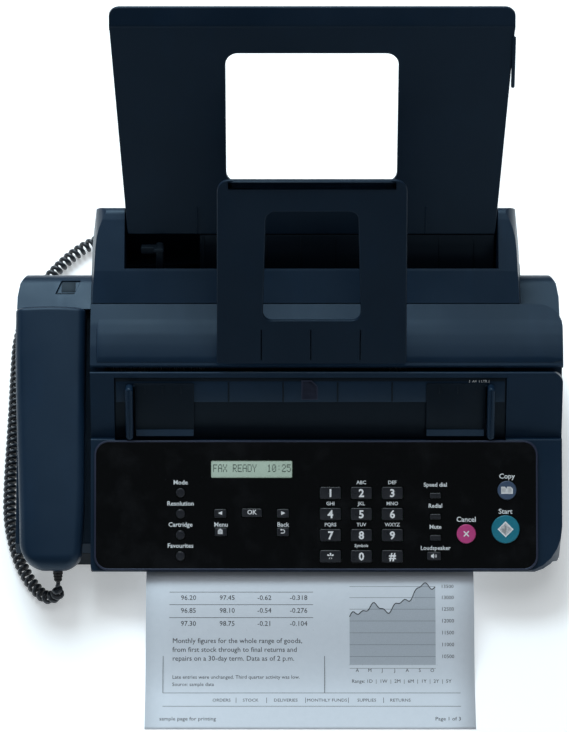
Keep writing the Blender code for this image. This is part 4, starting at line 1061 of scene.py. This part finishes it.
class FAX_OT_front_unit(Operator):
    """Front unit's shell and the polished control panel with its rim"""
    bl_idname = "fax.front_unit"
    bl_label = "Front unit"

    def execute(self, context):
        softened("front_unit_shell", "navy", sizes().casing_round)
        paint("gloss", "panel_fascia")
        paint("board", "keypad_board")
        outer = box_outline((FASCIA_LOW_CORNER[0] - 0.0003, FASCIA_LOW_CORNER[1] - 0.0003),
                            (FASCIA_HIGH_CORNER[0] + 0.0003, FASCIA_HIGH_CORNER[1] + 0.0003), 0.0092, 10)
        inner = box_outline((FASCIA_LOW_CORNER[0] + 0.0009, FASCIA_LOW_CORNER[1] + 0.0009),
                            (FASCIA_HIGH_CORNER[0] - 0.0009, FASCIA_HIGH_CORNER[1] - 0.0009), 0.0083, 10)
        section = plate_section(FASCIA_TOP - 0.0012, FASCIA_TOP + 0.00045, 0.00045)
        ring_plate("panel_rim", outer, inner, section, PANEL, "bezel", "front_unit", angle=60)
        return {"FINISHED"}


# Dot patterns, seven rows of five, for the characters that the display shows
DOT_ROWS = {
    "A": "01110 10001 10001 11111 10001 10001 10001", "D": "11110 10001 10001 10001 10001 10001 11110",
    "E": "11111 10000 10000 11110 10000 10000 11111", "R": "11110 10001 10001 11110 10100 10010 10001",
    "Y": "10001 10001 01010 00100 00100 00100 00100", "F": "11111 10000 10000 11110 10000 10000 10000",
    "X": "10001 10001 01010 00100 01010 10001 10001", "0": "01110 10001 10011 10101 11001 10001 01110",
    "1": "00100 01100 00100 00100 00100 00100 01110", "2": "01110 10001 00001 00110 01000 10000 11111",
    "5": "11111 10000 11110 00001 00001 10001 01110", "4": "00010 00110 01010 10010 11111 00010 00010",
    "-": "00000 00000 00000 11111 00000 00000 00000", ":": "00000 00100 00000 00000 00100 00000 00000",
}


class FAX_OT_display(Operator):
    """Display window with its dot characters"""
    bl_idname = "fax.display"
    bl_label = "Display"

    def execute(self, context):
        low, high = (-0.05175, 0.0614), (0.00175, 0.0726)
        glass = stacked(box_outline(low, high, 0.0008), soft_section(-0.0030, 0.0014, 0.0003), PANEL)
        surface("display_ground", glass, "display", "front_unit", nodes=["lcd_lens"])
        dot, pitch = 0.00046, 0.00054
        text = "FAX READY  10:25"
        cells = np.array([[0, 0, 0]])
        for place, letter in enumerate(text):
            if letter == " ":
                continue
            rows = np.array([[int(bit) for bit in row] for row in DOT_ROWS[letter].split()])
            row, column = np.nonzero(rows)
            spots = np.stack([column * pitch + place * pitch * 6.0, -row * pitch * 1.35, 0 * row], axis=-1)
            cells = np.vstack([cells, spots])
        cells = cells[1:] + (low[0] + 0.0014, high[1] - 0.0030, 0.00142)
        square = np.array([(0, 0, 0), (dot, 0, 0), (dot, dot * 1.3, 0), (0, dot * 1.3, 0)])
        corners = (cells[:, None] + square[None]).reshape(-1, 3)
        top = corners + (0, 0, 0.00003)
        points = np.vstack([corners, top])
        base = np.arange(len(cells))[:, None] * 4
        above = base + len(corners)
        quads = [above + np.array([0, 1, 2, 3]), base + np.array([3, 2, 1, 0])]
        quads += [np.hstack([base + a, base + b, above + b, above + a])
                  for a, b in ((0, 1), (1, 2), (2, 3), (3, 0))]
        mesh = bpy.data.meshes.new("display_characters")
        mesh.from_pydata(PANEL(points).tolist(), [], np.vstack(quads).tolist())
        finish_mesh("display_characters", mesh, "glyph", "front_unit")
        return {"FINISHED"}


class FAX_OT_panel_print(Operator):
    """Labels printed on the control panel"""
    bl_idname = "fax.panel_print"
    bl_label = "Panel print"

    def execute(self, context):
        words = [(text, MODE_X, 0.0582 - KEY_ROW * index, 0.0041, "CENTER")
                 for index, text in enumerate(("Mode", "Resolution", "Cartridge", "Favourites"))]
        words += [("Menu", -0.0452, 0.0304, 0.0041, "CENTER"), ("Back", -0.0043, 0.0304, 0.0041, "CENTER")]
        for index, text in enumerate(("ABC", "DEF", "GHI", "JKL", "MNO", "PQRS", "TUV", "WXYZ")):
            place = index + 1
            words.append((text, DIGIT_X + DIGIT_PITCH * (place % 3 - 1), 0.0582 - KEY_ROW * (place // 3),
                          0.0033, "CENTER"))
        words.append(("Symbols", DIGIT_X, 0.0166, 0.0027, "CENTER"))
        words += [(text, 0.0962, 0.0567 - KEY_ROW * index, 0.0038, "CENTER")
                  for index, text in enumerate(("Speed dial", "Redial", "Mute", "Loudspeaker"))]
        words += [("Cancel", 0.1165, 0.0338, 0.0047, "CENTER"), ("Copy", 0.1434, 0.0623, 0.0047, "CENTER"),
                  ("Start", 0.1424, 0.0391, 0.0047, "CENTER")]
        lettering("panel_labels", words, PANEL, FASCIA_TOP + 0.00001, "white", "front_unit", bold=0.00007)
        return {"FINISHED"}


# ---------------------------------------------------------------- keys

KEY_TOP = FASCIA_TOP + 0.0011
KEY_FOOT = KEY_TOP - 0.0046
MARK_THICKNESS = 0.00003
DIGITS = ("1", "2", "3", "4", "5", "6", "7", "8", "9", "*", "0", "#")
DIGIT_NODES = ("digit_1", "digit_2", "digit_3", "digit_4", "digit_5", "digit_6", "digit_7", "digit_8",
               "digit_9", "star", "digit_0", "hash")


def key_mark(path, width, high):
    """A printed line on a key's top, at a height above the panel."""
    return stroke(path, width, high, high + MARK_THICKNESS, PANEL)


def key_cap(node, outline, material, dish=0.0002, round_edge=None):
    """A key cap: its outline carried up through a soft top edge, then dished towards the middle."""
    edge = round_edge or sizes().key_round
    section = soft_section(KEY_FOOT, KEY_TOP + 0.0003, edge, 5, dish)
    cap = surface(node + "_cap", stacked(outline, section, PANEL), material, node, nodes=[node], angle=50)
    return cap


class FAX_OT_dial_keys(Operator):
    """Twelve dialling keys with their digits"""
    bl_idname = "fax.dial_keys"
    bl_label = "Dialling keys"

    def execute(self, context):
        for index, (node, digit) in enumerate(zip(DIGIT_NODES, DIGITS)):
            x = DIGIT_X + DIGIT_PITCH * (index % 3 - 1)
            climb = 0.0305 + KEY_ROW * (1.5 - index // 3)
            outline = box_outline((x - 0.0070, climb - 0.0040), (x + 0.0070, climb + 0.0040), 0.0012)
            key_cap(node + "_key", outline, "key")
            size = 0.0072 if digit != "*" else 0.0100
            drop = 0.0004 if digit != "*" else 0.0022
            lettering(node + "_legend", [(digit, x, climb - drop, size, "CENTER")], PANEL, KEY_TOP + 0.00027,
                      "pale", node + "_key", bold=0.00022)
        return {"FINISHED"}


class FAX_OT_menu_keys(Operator):
    """Round mode keys, arrow keys and menu keys"""
    bl_idname = "fax.menu_keys"
    bl_label = "Menu keys"

    def execute(self, context):
        high = KEY_TOP + 0.00028
        for index, node in enumerate(("mode_key", "resolution_key", "cartridge_key", "favourites_key")):
            outline = round_outline((MODE_X, 0.0515 - KEY_ROW * index), 0.0030)
            key_cap(node, outline, "key", 0.0003)
        for node, x, climb, half in (("left_key", -0.0456, 0.0379, 0.0040),
                                     ("ok_key", -0.0248, 0.0383, 0.0066),
                                     ("right_key", -0.0043, 0.0379, 0.0040),
                                     ("menu_key", -0.0452, 0.0257, 0.0040),
                                     ("back_key", -0.0043, 0.0257, 0.0040)):
            outline = box_outline((x - half, climb - 0.0028), (x + half, climb + 0.0028), 0.0009)
            key_cap(node, outline, "key")
        lettering("ok_legend", [("OK", -0.0248, 0.0385, 0.0042, "CENTER")], PANEL, high, "pale", "ok_key",
                  bold=0.00008)
        for node, x, way in (("left", -0.0456, -1), ("right", -0.0043, 1)):
            arrow = np.array([(x + way * 0.0016, 0.0381), (x - way * 0.0012, 0.0381 - 0.0013),
                              (x - way * 0.0012, 0.0381 + 0.0013)])
            solid = stacked(arrow, [(0, high - 0.00002), (0, high + 0.00002)], PANEL)
            bundle(node + "_arrow", [solid], "pale", node + "_key")
        sheet = [(-0.0470, 0.0245), (-0.0470, 0.0268), (-0.0456, 0.0276), (-0.0443, 0.0268), (-0.0443, 0.0245),
                 (-0.0470, 0.0245)]
        lines = [key_mark(sheet, 0.0004, high),
                 key_mark([(-0.0463, 0.0252), (-0.0449, 0.0252)], 0.0003, high),
                 key_mark([(-0.0463, 0.0260), (-0.0449, 0.0260)], 0.0003, high)]
        bundle("menu_symbol", lines, "pale", "menu_key")
        angle = np.linspace(-0.5 * math.pi, 0.5 * math.pi, 9)
        arc = [(-0.0043 + 0.0011 * math.cos(a), 0.0260 + 0.0011 * math.sin(a)) for a in angle]
        hook = [(-0.0058, 0.0249), *arc, (-0.0053, 0.0271)]
        head = np.array([(-0.0062, 0.0271), (-0.0051, 0.0263), (-0.0051, 0.0279)])
        bundle("back_symbol", [key_mark(hook, 0.0005, high),
                               stacked(head, [(0, high), (0, high + 0.00003)], PANEL)], "pale", "back_key")
        return {"FINISHED"}


class FAX_OT_line_keys(Operator):
    """Speed dial, redial, mute and loudspeaker keys"""
    bl_idname = "fax.line_keys"
    bl_label = "Line keys"

    def execute(self, context):
        for index, node in enumerate(("speed_dial_key", "redial_key", "mute_key")):
            climb = 0.0496 - KEY_ROW * index
            key_cap(node, box_outline((0.0925, climb - 0.0018), (0.0999, climb + 0.0018), 0.0008), "key",
                    0.0001)
        outline = box_outline((0.0907, 0.0071), (0.0999, 0.0125), 0.0010)
        key_cap("loudspeaker_key", outline, "key")
        high = KEY_TOP + 0.00028
        horn = rounded([(0.0932, 0.0090, 0), (0.0939, 0.0090, 0), (0.0951, 0.0081, 0), (0.0951, 0.0115, 0),
                        (0.0939, 0.0106, 0), (0.0932, 0.0106, 0)], 1)
        marks = [stacked(horn, [(0, high), (0, high + 0.00003)], PANEL)]
        for reach in (0.0009, 0.0017):
            angle = np.linspace(-0.8, 0.8, 7)
            arc = [(0.0951 + reach * math.cos(a), 0.0098 + reach * math.sin(a)) for a in angle]
            marks.append(key_mark(arc, 0.00035, high))
        bundle("loudspeaker_symbol", marks, "pale", "loudspeaker_key")
        return {"FINISHED"}


class FAX_OT_action_keys(Operator):
    """Cancel, Copy and Start keys with their symbols"""
    bl_idname = "fax.action_keys"
    bl_label = "Action keys"

    def execute(self, context):
        high = KEY_TOP + 0.00031
        for node, centre, radius, steps, colour in (("cancel_key", (0.1165, 0.0244), 0.0063, 48, "magenta"),
                                                    ("copy_key", (0.1434, 0.0531), 0.0062, 48, "slate"),
                                                    ("start_key", (0.1424, 0.0274), 0.0092, 64, "teal")):
            key_cap(node, round_outline(centre, radius, steps), colour, 0.0001, 0.0005)
        x, climb, arm = 0.1165, 0.0244, 0.0017
        cross = [key_mark([(x - arm, climb - arm), (x + arm, climb + arm)], 0.0008, high),
                 key_mark([(x - arm, climb + arm), (x + arm, climb - arm)], 0.0008, high + 0.00001)]
        bundle("cancel_symbol", cross, "pale", "cancel_key")

        x, climb, reach = 0.1424, 0.0274, 0.0047
        diamond = [(x, climb - reach), (x + reach, climb), (x, climb + reach), (x - reach, climb),
                   (x, climb - reach)]
        start = [key_mark(diamond, 0.0008, high),
                 key_mark([(x, climb - 0.0021), (x, climb + 0.0021)], 0.0009, high)]
        bundle("start_symbol", start, "pale", "start_key")
        copy = []
        for left in (0.1434 - 0.0036, 0.1434 + 0.0003):
            low, top, right, cut = 0.0531 - 0.0021, 0.0531 + 0.0021, left + 0.0033, 0.0012
            leaf = [(left, low), (right, low), (right, top - cut), (right - cut, top), (left, top), (left, low)]
            copy.append(key_mark(leaf, 0.0005, high))
            copy.append(key_mark([(left + 0.0009, 0.0525), (right - 0.0009, 0.0525)], 0.0004, high))
            copy.append(key_mark([(left + 0.0009, 0.0535), (right - 0.0012, 0.0535)], 0.0004, high))
        bundle("copy_symbol", copy, "pale", "copy_key")
        return {"FINISHED"}


# ---------------------------------------------------------------- document bed and guides

BED_TOP = -0.0010


class FAX_OT_document_bed(Operator):
    """Ribbed document bed with its page symbol and size marks"""
    bl_idname = "fax.document_bed"
    bl_label = "Document bed"

    def execute(self, context):
        left, right = -0.1151, 0.1426
        parts = [bar((left, 0.0010, -0.0032), (right, 0.0435, BED_TOP - 0.0003), BED, 0.0003)]
        bed = bundle("document_bed_plate", parts, "dark", "front_unit", nodes=["document_bed"])
        # The upper half is a raised band whose top edge rolls back, with ribs along the way the paper goes
        roll = np.linspace(0, math.radians(75), 7)
        skin = np.vstack([[(0.0262, BED_TOP - 0.0006), (0.0264, BED_TOP - 0.0001), (0.0268, BED_TOP)],
                          np.stack([0.0388 + 0.0048 * np.sin(roll), BED_TOP - 0.0026 * (1 - np.cos(roll))],
                                   axis=-1)])
        loop = np.vstack([skin, [(0.0434, BED_TOP - 0.0020), (0.0262, BED_TOP - 0.0020)]])
        ends = [left + 0.0008, right - 0.0008]
        band = BED(np.array([[(x, climb, out) for climb, out in loop] for x in ends]))
        ribs = [bar((x - 0.0005, 0.0266, BED_TOP - 0.0004), (x + 0.0005, 0.0405, BED_TOP + 0.0003), BED, 0.0002)
                for x in np.linspace(-0.0401, 0.0676, sizes().bed_ribs)]
        bundle("document_bed_band", [band], "navy", "front_unit", angle=40)
        bundle("document_bed_ribs", ribs, "dark", "front_unit")
        high = BED_TOP
        # Page symbol with a folded corner
        x, low, top, right, cut = 0.0082, 0.0285, 0.0415, 0.0182, 0.0040
        leaf = [(x, low), (right, low), (right, top - cut), (right - cut, top), (x, top), (x, low)]
        fold = [(right - cut, top), (right - cut, top - cut), (right, top - cut)]
        mark = [stroke(leaf, 0.0007, high - 0.0001, high + 0.00035, BED),
                stroke(fold, 0.0006, high - 0.0001, high + 0.00035, BED)]
        bundle("bed_page_symbol", mark, "bezel", "front_unit")
        lines = [stroke([(0.1185 + step, 0.0402), (0.1185 + step, 0.0418)], 0.0003, high, high + 0.00003, BED)
                 for step in (0, 0.0064, 0.0128)]
        bundle("bed_size_marks", lines, "white", "front_unit")
        labels = [("A4", 0.1217, 0.0411, 0.0024, "CENTER"), ("LTR", 0.1281, 0.0411, 0.0024, "CENTER")]
        lettering("bed_size_labels", labels, BED, high + 0.00001, "white", "front_unit")
        return {"FINISHED"}


class FAX_OT_document_guides(Operator):
    """Two sliding document guides"""
    bl_idname = "fax.document_guides"
    bl_label = "Document guides"

    def execute(self, context):
        low = -0.0006
        for side, outer, way in (("left", -0.1080, 1), ("right", 0.1352, -1)):
            def across(points, outer=outer, way=way):
                """Mirrors a guide drawn inwards from its outer edge."""
                p = np.array(points, float)
                p[..., 0] = outer + way * p[..., 0]
                return BED(p)
            parts = [bar((0.0052, 0.0030, low), (0.0450, 0.0400, low + 0.0012), across, 0.0005),
                     bar((0.0049, 0.0034, low + 0.0003), (0.0066, 0.0392, low + 0.0040), across, 0.0006)]
            parts += [bar((0.0120 + step, 0.0330, low + 0.0011), (0.0130 + step, 0.0385, low + 0.0016),
                          across, 0.0002) for step in (0, 0.012, 0.024)]
            lip = [(0.0034, low + 0.0008), (0.0034, low + 0.0034), (0.0039, low + 0.0038), (0.0074, low + 0.0016),
                   (0.0076, low + 0.0008)]
            trim = [across(np.array([[(x, climb, out) for climb, out in lip] for x in (0.0068, 0.0446)])),
                    bar((0.0, 0.0025, low + 0.0004), (0.0050, 0.0395, low + 0.0085), across, 0.0016, 5)]
            bundle("document_guide_%s_fence" % side, trim, "navy", "document_guide_" + side)
            node = "document_guide_" + side
            guide = bundle(node + "_moulding", parts, "dark", node, nodes=[node])
        return {"FINISHED"}


# ---------------------------------------------------------------- paper tray and document support

class FAX_OT_paper_tray(Operator):
    """Rear paper tray with its window and its bent lip"""
    bl_idname = "fax.paper_tray"
    bl_label = "Paper tray"

    def execute(self, context):
        half_foot, half_top, length, thick = 0.12165, 0.1308, 0.152, 0.0028
        outer = rounded([(CENTRE_X - half_foot, 0.0, 0.0010), (CENTRE_X + half_foot, 0.0, 0.0010),
                         (CENTRE_X + half_top, length, 0.0012), (CENTRE_X - half_top, length, 0.0012)], 8)
        inner = box_outline((CENTRE_X - 0.056, 0.038), (CENTRE_X + 0.056, 0.132), 0.008, 8)
        plate = ring_plate("paper_tray_plate", outer, inner, plate_section(-thick, 0, 0.0007), TRAY,
                           "tray", "paper_tray", nodes=["paper_tray"])
        # The lip leaves the plate's line through a 4 mm bend and leans back by the difference of the two tilts
        lean = TRAY_TILT - math.radians(42)
        turn = np.linspace(0, lean, 7)
        bend = 0.0040
        along = np.concatenate([[0.1500], 0.1512 + bend * np.sin(turn)])
        out = np.concatenate([[0.0], -bend * (1 - np.cos(turn))])
        along = np.concatenate([along, [along[-1] + 0.0105 * math.cos(lean)]])
        out = np.concatenate([out, [out[-1] - 0.0105 * math.sin(lean)]])
        normal = np.concatenate([[0], turn, [lean]])
        face = np.stack([along, out + 0.00012], axis=-1)
        face[0] = (0.1485, -0.0004)
        back = np.stack([along - thick * np.sin(normal), out - thick * np.cos(normal)], axis=-1)
        tip = (face[-1] + back[-1]) / 2 + (0.0011 * math.cos(lean), -0.0011 * math.sin(lean))
        loop = np.vstack([face, tip, back[::-1]])
        left, right = CENTRE_X - half_top, CENTRE_X + half_top

        def across(points):
            """Maps (climb, out, across) on the tray's plane to world metres."""
            p = np.asarray(points, float)
            return TRAY(np.stack([p[..., 2], p[..., 0], p[..., 1]], axis=-1))
        quarter = np.linspace(0, math.pi / 2, 8)
        drop, step_in = 0.0070 * (1 - np.sin(quarter)), 0.0070 * (1 - np.cos(quarter))
        inset = np.concatenate([drop, drop[::-1]])
        station = np.concatenate([left + step_in, right - step_in[::-1]])
        rows = np.repeat(loop[None], len(inset), axis=0)
        reach = np.clip((rows[..., 0] - 0.1535) / 0.012, 0, 1)
        draw_in = reach * inset[:, None]
        rows = rows - np.stack([draw_in * math.cos(lean), -draw_in * math.sin(lean)], axis=-1)
        points = across(np.dstack([rows, np.broadcast_to(station[:, None], rows.shape[:2])]))
        lip = surface("paper_tray_lip", points, "tray", "paper_tray", angle=40)
        parts = [bar((x - 0.0005, 0.0010, -0.0002), (x + 0.0005, 0.0200, 0.0007), TRAY, 0.0003)
                 for x in (CENTRE_X - 0.0755, CENTRE_X + 0.0755)]
        parts.append(bar((CENTRE_X + half_top - 0.0018, 0.1080, -0.0010),
                         (CENTRE_X + half_top + 0.0006, 0.1440, 0.0016), TRAY, 0.0006))
        parts.append(bar((CENTRE_X + 0.0560, 0.0010, -0.0002), (CENTRE_X + 0.0563, 0.0200, 0.0006), TRAY, 0.0001))
        bundle("paper_tray_ribs", parts, "tray", "paper_tray")
        return {"FINISHED"}


class FAX_OT_document_support(Operator):
    """Upright document support with its window and ribs"""
    bl_idname = "fax.document_support"
    bl_label = "Document support"

    def execute(self, context):
        half, length, thick = 0.06125, 0.130, 0.0032
        outer = rounded([(CENTRE_X - half - 0.001, 0, 0.002), (CENTRE_X + half + 0.001, 0, 0.002),
                         (CENTRE_X + half, length, 0.008), (CENTRE_X - half, length, 0.008)], 8)
        inner = rounded([(CENTRE_X - 0.0320, 0.031, 0.006), (CENTRE_X + 0.0320, 0.031, 0.006),
                         (CENTRE_X + 0.02975, 0.108, 0.006), (CENTRE_X - 0.02975, 0.108, 0.006)], 8)
        plate = ring_plate("document_support_plate", outer, inner, plate_section(0, thick, 0.0009),
                           SUPPORT, "tray", "document_support", nodes=["document_support"])
        parts = [bar((x - 0.0004, 0.0030, thick - 0.0007), (x + 0.0004, 0.0245, thick + 0.0002), SUPPORT, 0.0003)
                 for x in (CENTRE_X - 0.0330, CENTRE_X - 0.0006, CENTRE_X + 0.0318)]
        parts.append(bar((CENTRE_X - half + 0.0075, 0.1236, thick - 0.0014),
                         (CENTRE_X + half - 0.0075, 0.1296, thick + 0.0012), SUPPORT, 0.0022, 5))
        bundle("document_support_ribs", parts, "tray", "document_support")
        return {"FINISHED"}


# ---------------------------------------------------------------- printed page

PAGE_Z = 0.0255
PAGE_FRONT_Y = -0.102
PAGE_HALF = 0.0002
TABLE_ROW = 0.0086
CHART_LEFT, CHART_WIDTH, CHART_TOP = 0.0260, 0.0565, 0.0985
CHART_ROW, CHART_COLUMN = 0.0078, 0.0082


def page_place(points):
    """Maps (across, distance from the front edge, out) to world metres on the page. Its height is level
    in the slot and eases down to the desk by half a cosine wave, and its distance is measured along it."""
    y = np.linspace(PAGE_FRONT_Y, 0.200, 1200)
    low = PAGE_HALF + 0.0002
    share = np.clip((-0.004 - y) / 0.074, 0, 1)
    z = low + (PAGE_Z - low) * (0.5 + 0.5 * np.cos(np.pi * share))
    reach = np.concatenate([[0], np.cumsum(np.hypot(np.diff(y), np.diff(z)))])
    slope = np.arctan(np.gradient(z, y))
    p = np.asarray(points, float)
    tilt = np.interp(p[..., 1], reach, slope)
    return np.stack([CENTRE_X - 0.001 + p[..., 0],
                     FRONT_Y + np.interp(p[..., 1], reach, y) - p[..., 2] * np.sin(tilt),
                     np.interp(p[..., 1], reach, z) + p[..., 2] * np.cos(tilt)], axis=-1)


class FAX_OT_printed_page(Operator):
    """Printed page with its table, text and chart"""
    bl_idname = "fax.printed_page"
    bl_label = "Printed page"

    def execute(self, context):
        size = sizes()
        half, length = size.page_width / 2, size.page_length
        across = np.linspace(-half, half, 13)
        along = np.concatenate([np.linspace(0, 0.115, 60), np.linspace(0.118, length, 16)])
        a, s = np.meshgrid(across, along)
        points = page_place(np.dstack([a, s, 0 * a - PAGE_HALF]))
        page = surface("printed_page_sheet", points, "paper", None, wrap_columns=False, caps=False,
                       nodes=["printed_page"], recalculate=False)
        solid = page.modifiers.new("paper_thickness", "SOLIDIFY")
        solid.thickness = 2 * PAGE_HALF * 0.8
        solid.offset = 1
        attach(page, "printed_page")
        high = PAGE_HALF * 0.62 + 0.00001
        words = []
        for row, numbers in enumerate((("96.20", "97.45", "-0.62", "-0.318"),
                                       ("96.85", "98.10", "-0.54", "-0.276"),
                                       ("97.30", "98.75", "-0.21", "-0.104"))):
            climb = 0.0905 - TABLE_ROW * row
            words += [(number, x, climb, 0.0046, "CENTER")
                      for number, x in zip(numbers, (-0.0800, -0.0545, -0.0300, -0.0075))]
        words += [(line, -0.0905, 0.0620 - 0.0058 * index, 0.0046, "LEFT") for index, line in enumerate(
            ("Monthly figures for the whole range of goods,", "from first stock through to final returns and",
             "repairs on a 30-day term. Data as of 2 p.m."))]
        words += [(line, -0.0905, 0.0380 - 0.0050 * index, 0.0034, "LEFT") for index, line in enumerate(
            ("Late entries were unchanged. Third quarter activity was low.", "Source: sample data"))]
        words += [(line, x, 0.0215, 0.0032, "CENTER") for line, x in (
            ("ORDERS", -0.0580), ("STOCK", -0.0390), ("DELIVERIES", -0.0160), ("MONTHLY FUNDS", 0.0110),
            ("SUPPLIES", 0.0370), ("RETURNS", 0.0590))]
        words += [("sample page for printing", -0.0985, 0.0075, 0.0038, "LEFT"),
                  ("Page 1 of 3", 0.0985, 0.0075, 0.0038, "RIGHT"),
                  ("Range: 1D  |  1W  |  2M  |  6M  |  1Y  |  2Y  |  5Y", 0.0600, 0.0352, 0.0033, "CENTER")]
        words += [(str(13500 - 500 * step), 0.0905, CHART_TOP - CHART_ROW * step, 0.0034, "CENTER")
                  for step in range(7)]
        words += [(letter, 0.0310 + CHART_COLUMN * step, 0.0425, 0.0032, "CENTER")
                  for step, letter in enumerate("AMJJASO")]
        lettering("page_text", words, page_place, high, "ink", "printed_page")

        def rule(start, end, width=0.0003):
            """A thin printed line between two places on the page."""
            return stroke([start, end], width, high, high + 0.00002, page_place)
        heights = [0.0945 - TABLE_ROW * row for row in range(3)]
        rules = [rule((-0.0925, y), (0.0020, y)) for y in heights]
        rules += [rule((x, 0.0690), (x, 0.1150)) for x in (-0.0925, -0.0672, -0.0418, -0.0185, 0.0020)]
        rules += [rule((-0.0965, y), (0.0985, y)) for y in (0.0270, 0.0170)]
        rules += [rule((x, 0.0270), (x, 0.1150)) for x in (-0.0965, 0.0095)]
        rules += [rule((x, 0.0195), (x, 0.0235)) for x in (-0.0485, -0.0285, -0.0030, 0.0250, 0.0480)]
        bundle("page_rules", rules, "ink", "printed_page")
        levels = [CHART_TOP - CHART_ROW * step for step in range(8)]
        columns = [CHART_LEFT + CHART_COLUMN * step for step in range(8)]
        grid_lines = [rule((CHART_LEFT, y), (0.0825, y), 0.00025) for y in levels]
        grid_lines += [rule((x, 0.0460), (x, 0.1120), 0.00025) for x in columns]
        bundle("page_chart_grid", grid_lines, "grey_ink", "printed_page")
        # The chart's curve is a rising line with three sine waves on it
        x = np.linspace(0, 1, 60)
        curve = (0.0760 + 0.022 * x + 0.0035 * np.sin(9 * x) + 0.0022 * np.sin(23 * x + 1)
                 + 0.0012 * np.sin(51 * x))
        line = np.stack([CHART_LEFT + CHART_WIDTH * x, curve], axis=-1)
        bundle("page_chart_curve", [stroke(line, 0.0006, high + 0.00003, high + 0.00005, page_place)], "ink",
               "printed_page")
        foot, crest = (np.column_stack([line[:, 0], climb, np.full(60, high + 0.00001)])
                       for climb in (np.full(60, 0.0462), curve))
        steps = np.linspace(0, 1, 24)[:, None, None]
        fill = page_place(foot[None] * (1 - steps) + crest[None] * steps)
        surface("page_chart_fill", fill, "pale_ink", "printed_page", wrap_columns=False, caps=False,
                recalculate=False)
        return {"FINISHED"}


# ---------------------------------------------------------------- inner parts

class FAX_OT_inner_parts(Operator):
    """Rollers, rod, carriage and scan bar behind the covers"""
    bl_idname = "fax.inner_parts"
    bl_label = "Inner parts"

    def execute(self, context):
        paint("steel", "carriage_rod")
        paint("dark", "print_carriage", "scan_bar")
        paint("rubber", "feed_roller", "exit_roller", "document_roller")
        return {"FINISHED"}


OPERATORS = (FAX_OT_stage, FAX_OT_cord, FAX_OT_casings, FAX_OT_top_cover, FAX_OT_paper_slot, FAX_OT_sockets,
             FAX_OT_handset, FAX_OT_front_unit, FAX_OT_display, FAX_OT_panel_print, FAX_OT_dial_keys,
             FAX_OT_menu_keys, FAX_OT_line_keys, FAX_OT_action_keys, FAX_OT_document_bed,
             FAX_OT_document_guides, FAX_OT_paper_tray, FAX_OT_document_support, FAX_OT_printed_page,
             FAX_OT_inner_parts)


class FAX_PT_builder(Panel):
    """Lists the builders of the fax machine's pieces with their sizes and colours"""
    bl_idname = "FAX_PT_builder"
    bl_label = "Fax Machine"
    bl_space_type = "VIEW_3D"
    bl_region_type = "UI"
    bl_category = "Fax Machine"

    def draw(self, context):
        for group in (context.scene.fax_sizes, context.scene.fax_colours):
            for name in group.__annotations__:
                self.layout.prop(group, name)
        for operator in OPERATORS:
            self.layout.operator(operator.bl_idname)


CLASSES = (FaxSizes, FaxColours, *OPERATORS, FAX_PT_builder)


def register():
    for kind in CLASSES:
        bpy.utils.register_class(kind)
    bpy.types.Scene.fax_sizes = PointerProperty(type=FaxSizes)
    bpy.types.Scene.fax_colours = PointerProperty(type=FaxColours)


def unregister():
    del bpy.types.Scene.fax_colours
    del bpy.types.Scene.fax_sizes
    for kind in reversed(CLASSES):
        bpy.utils.unregister_class(kind)


def main():
    register()
    for operator in OPERATORS:
        group, name = operator.bl_idname.split(".")
        getattr(getattr(bpy.ops, group), name)()


if __name__ == "__main__":
    main()
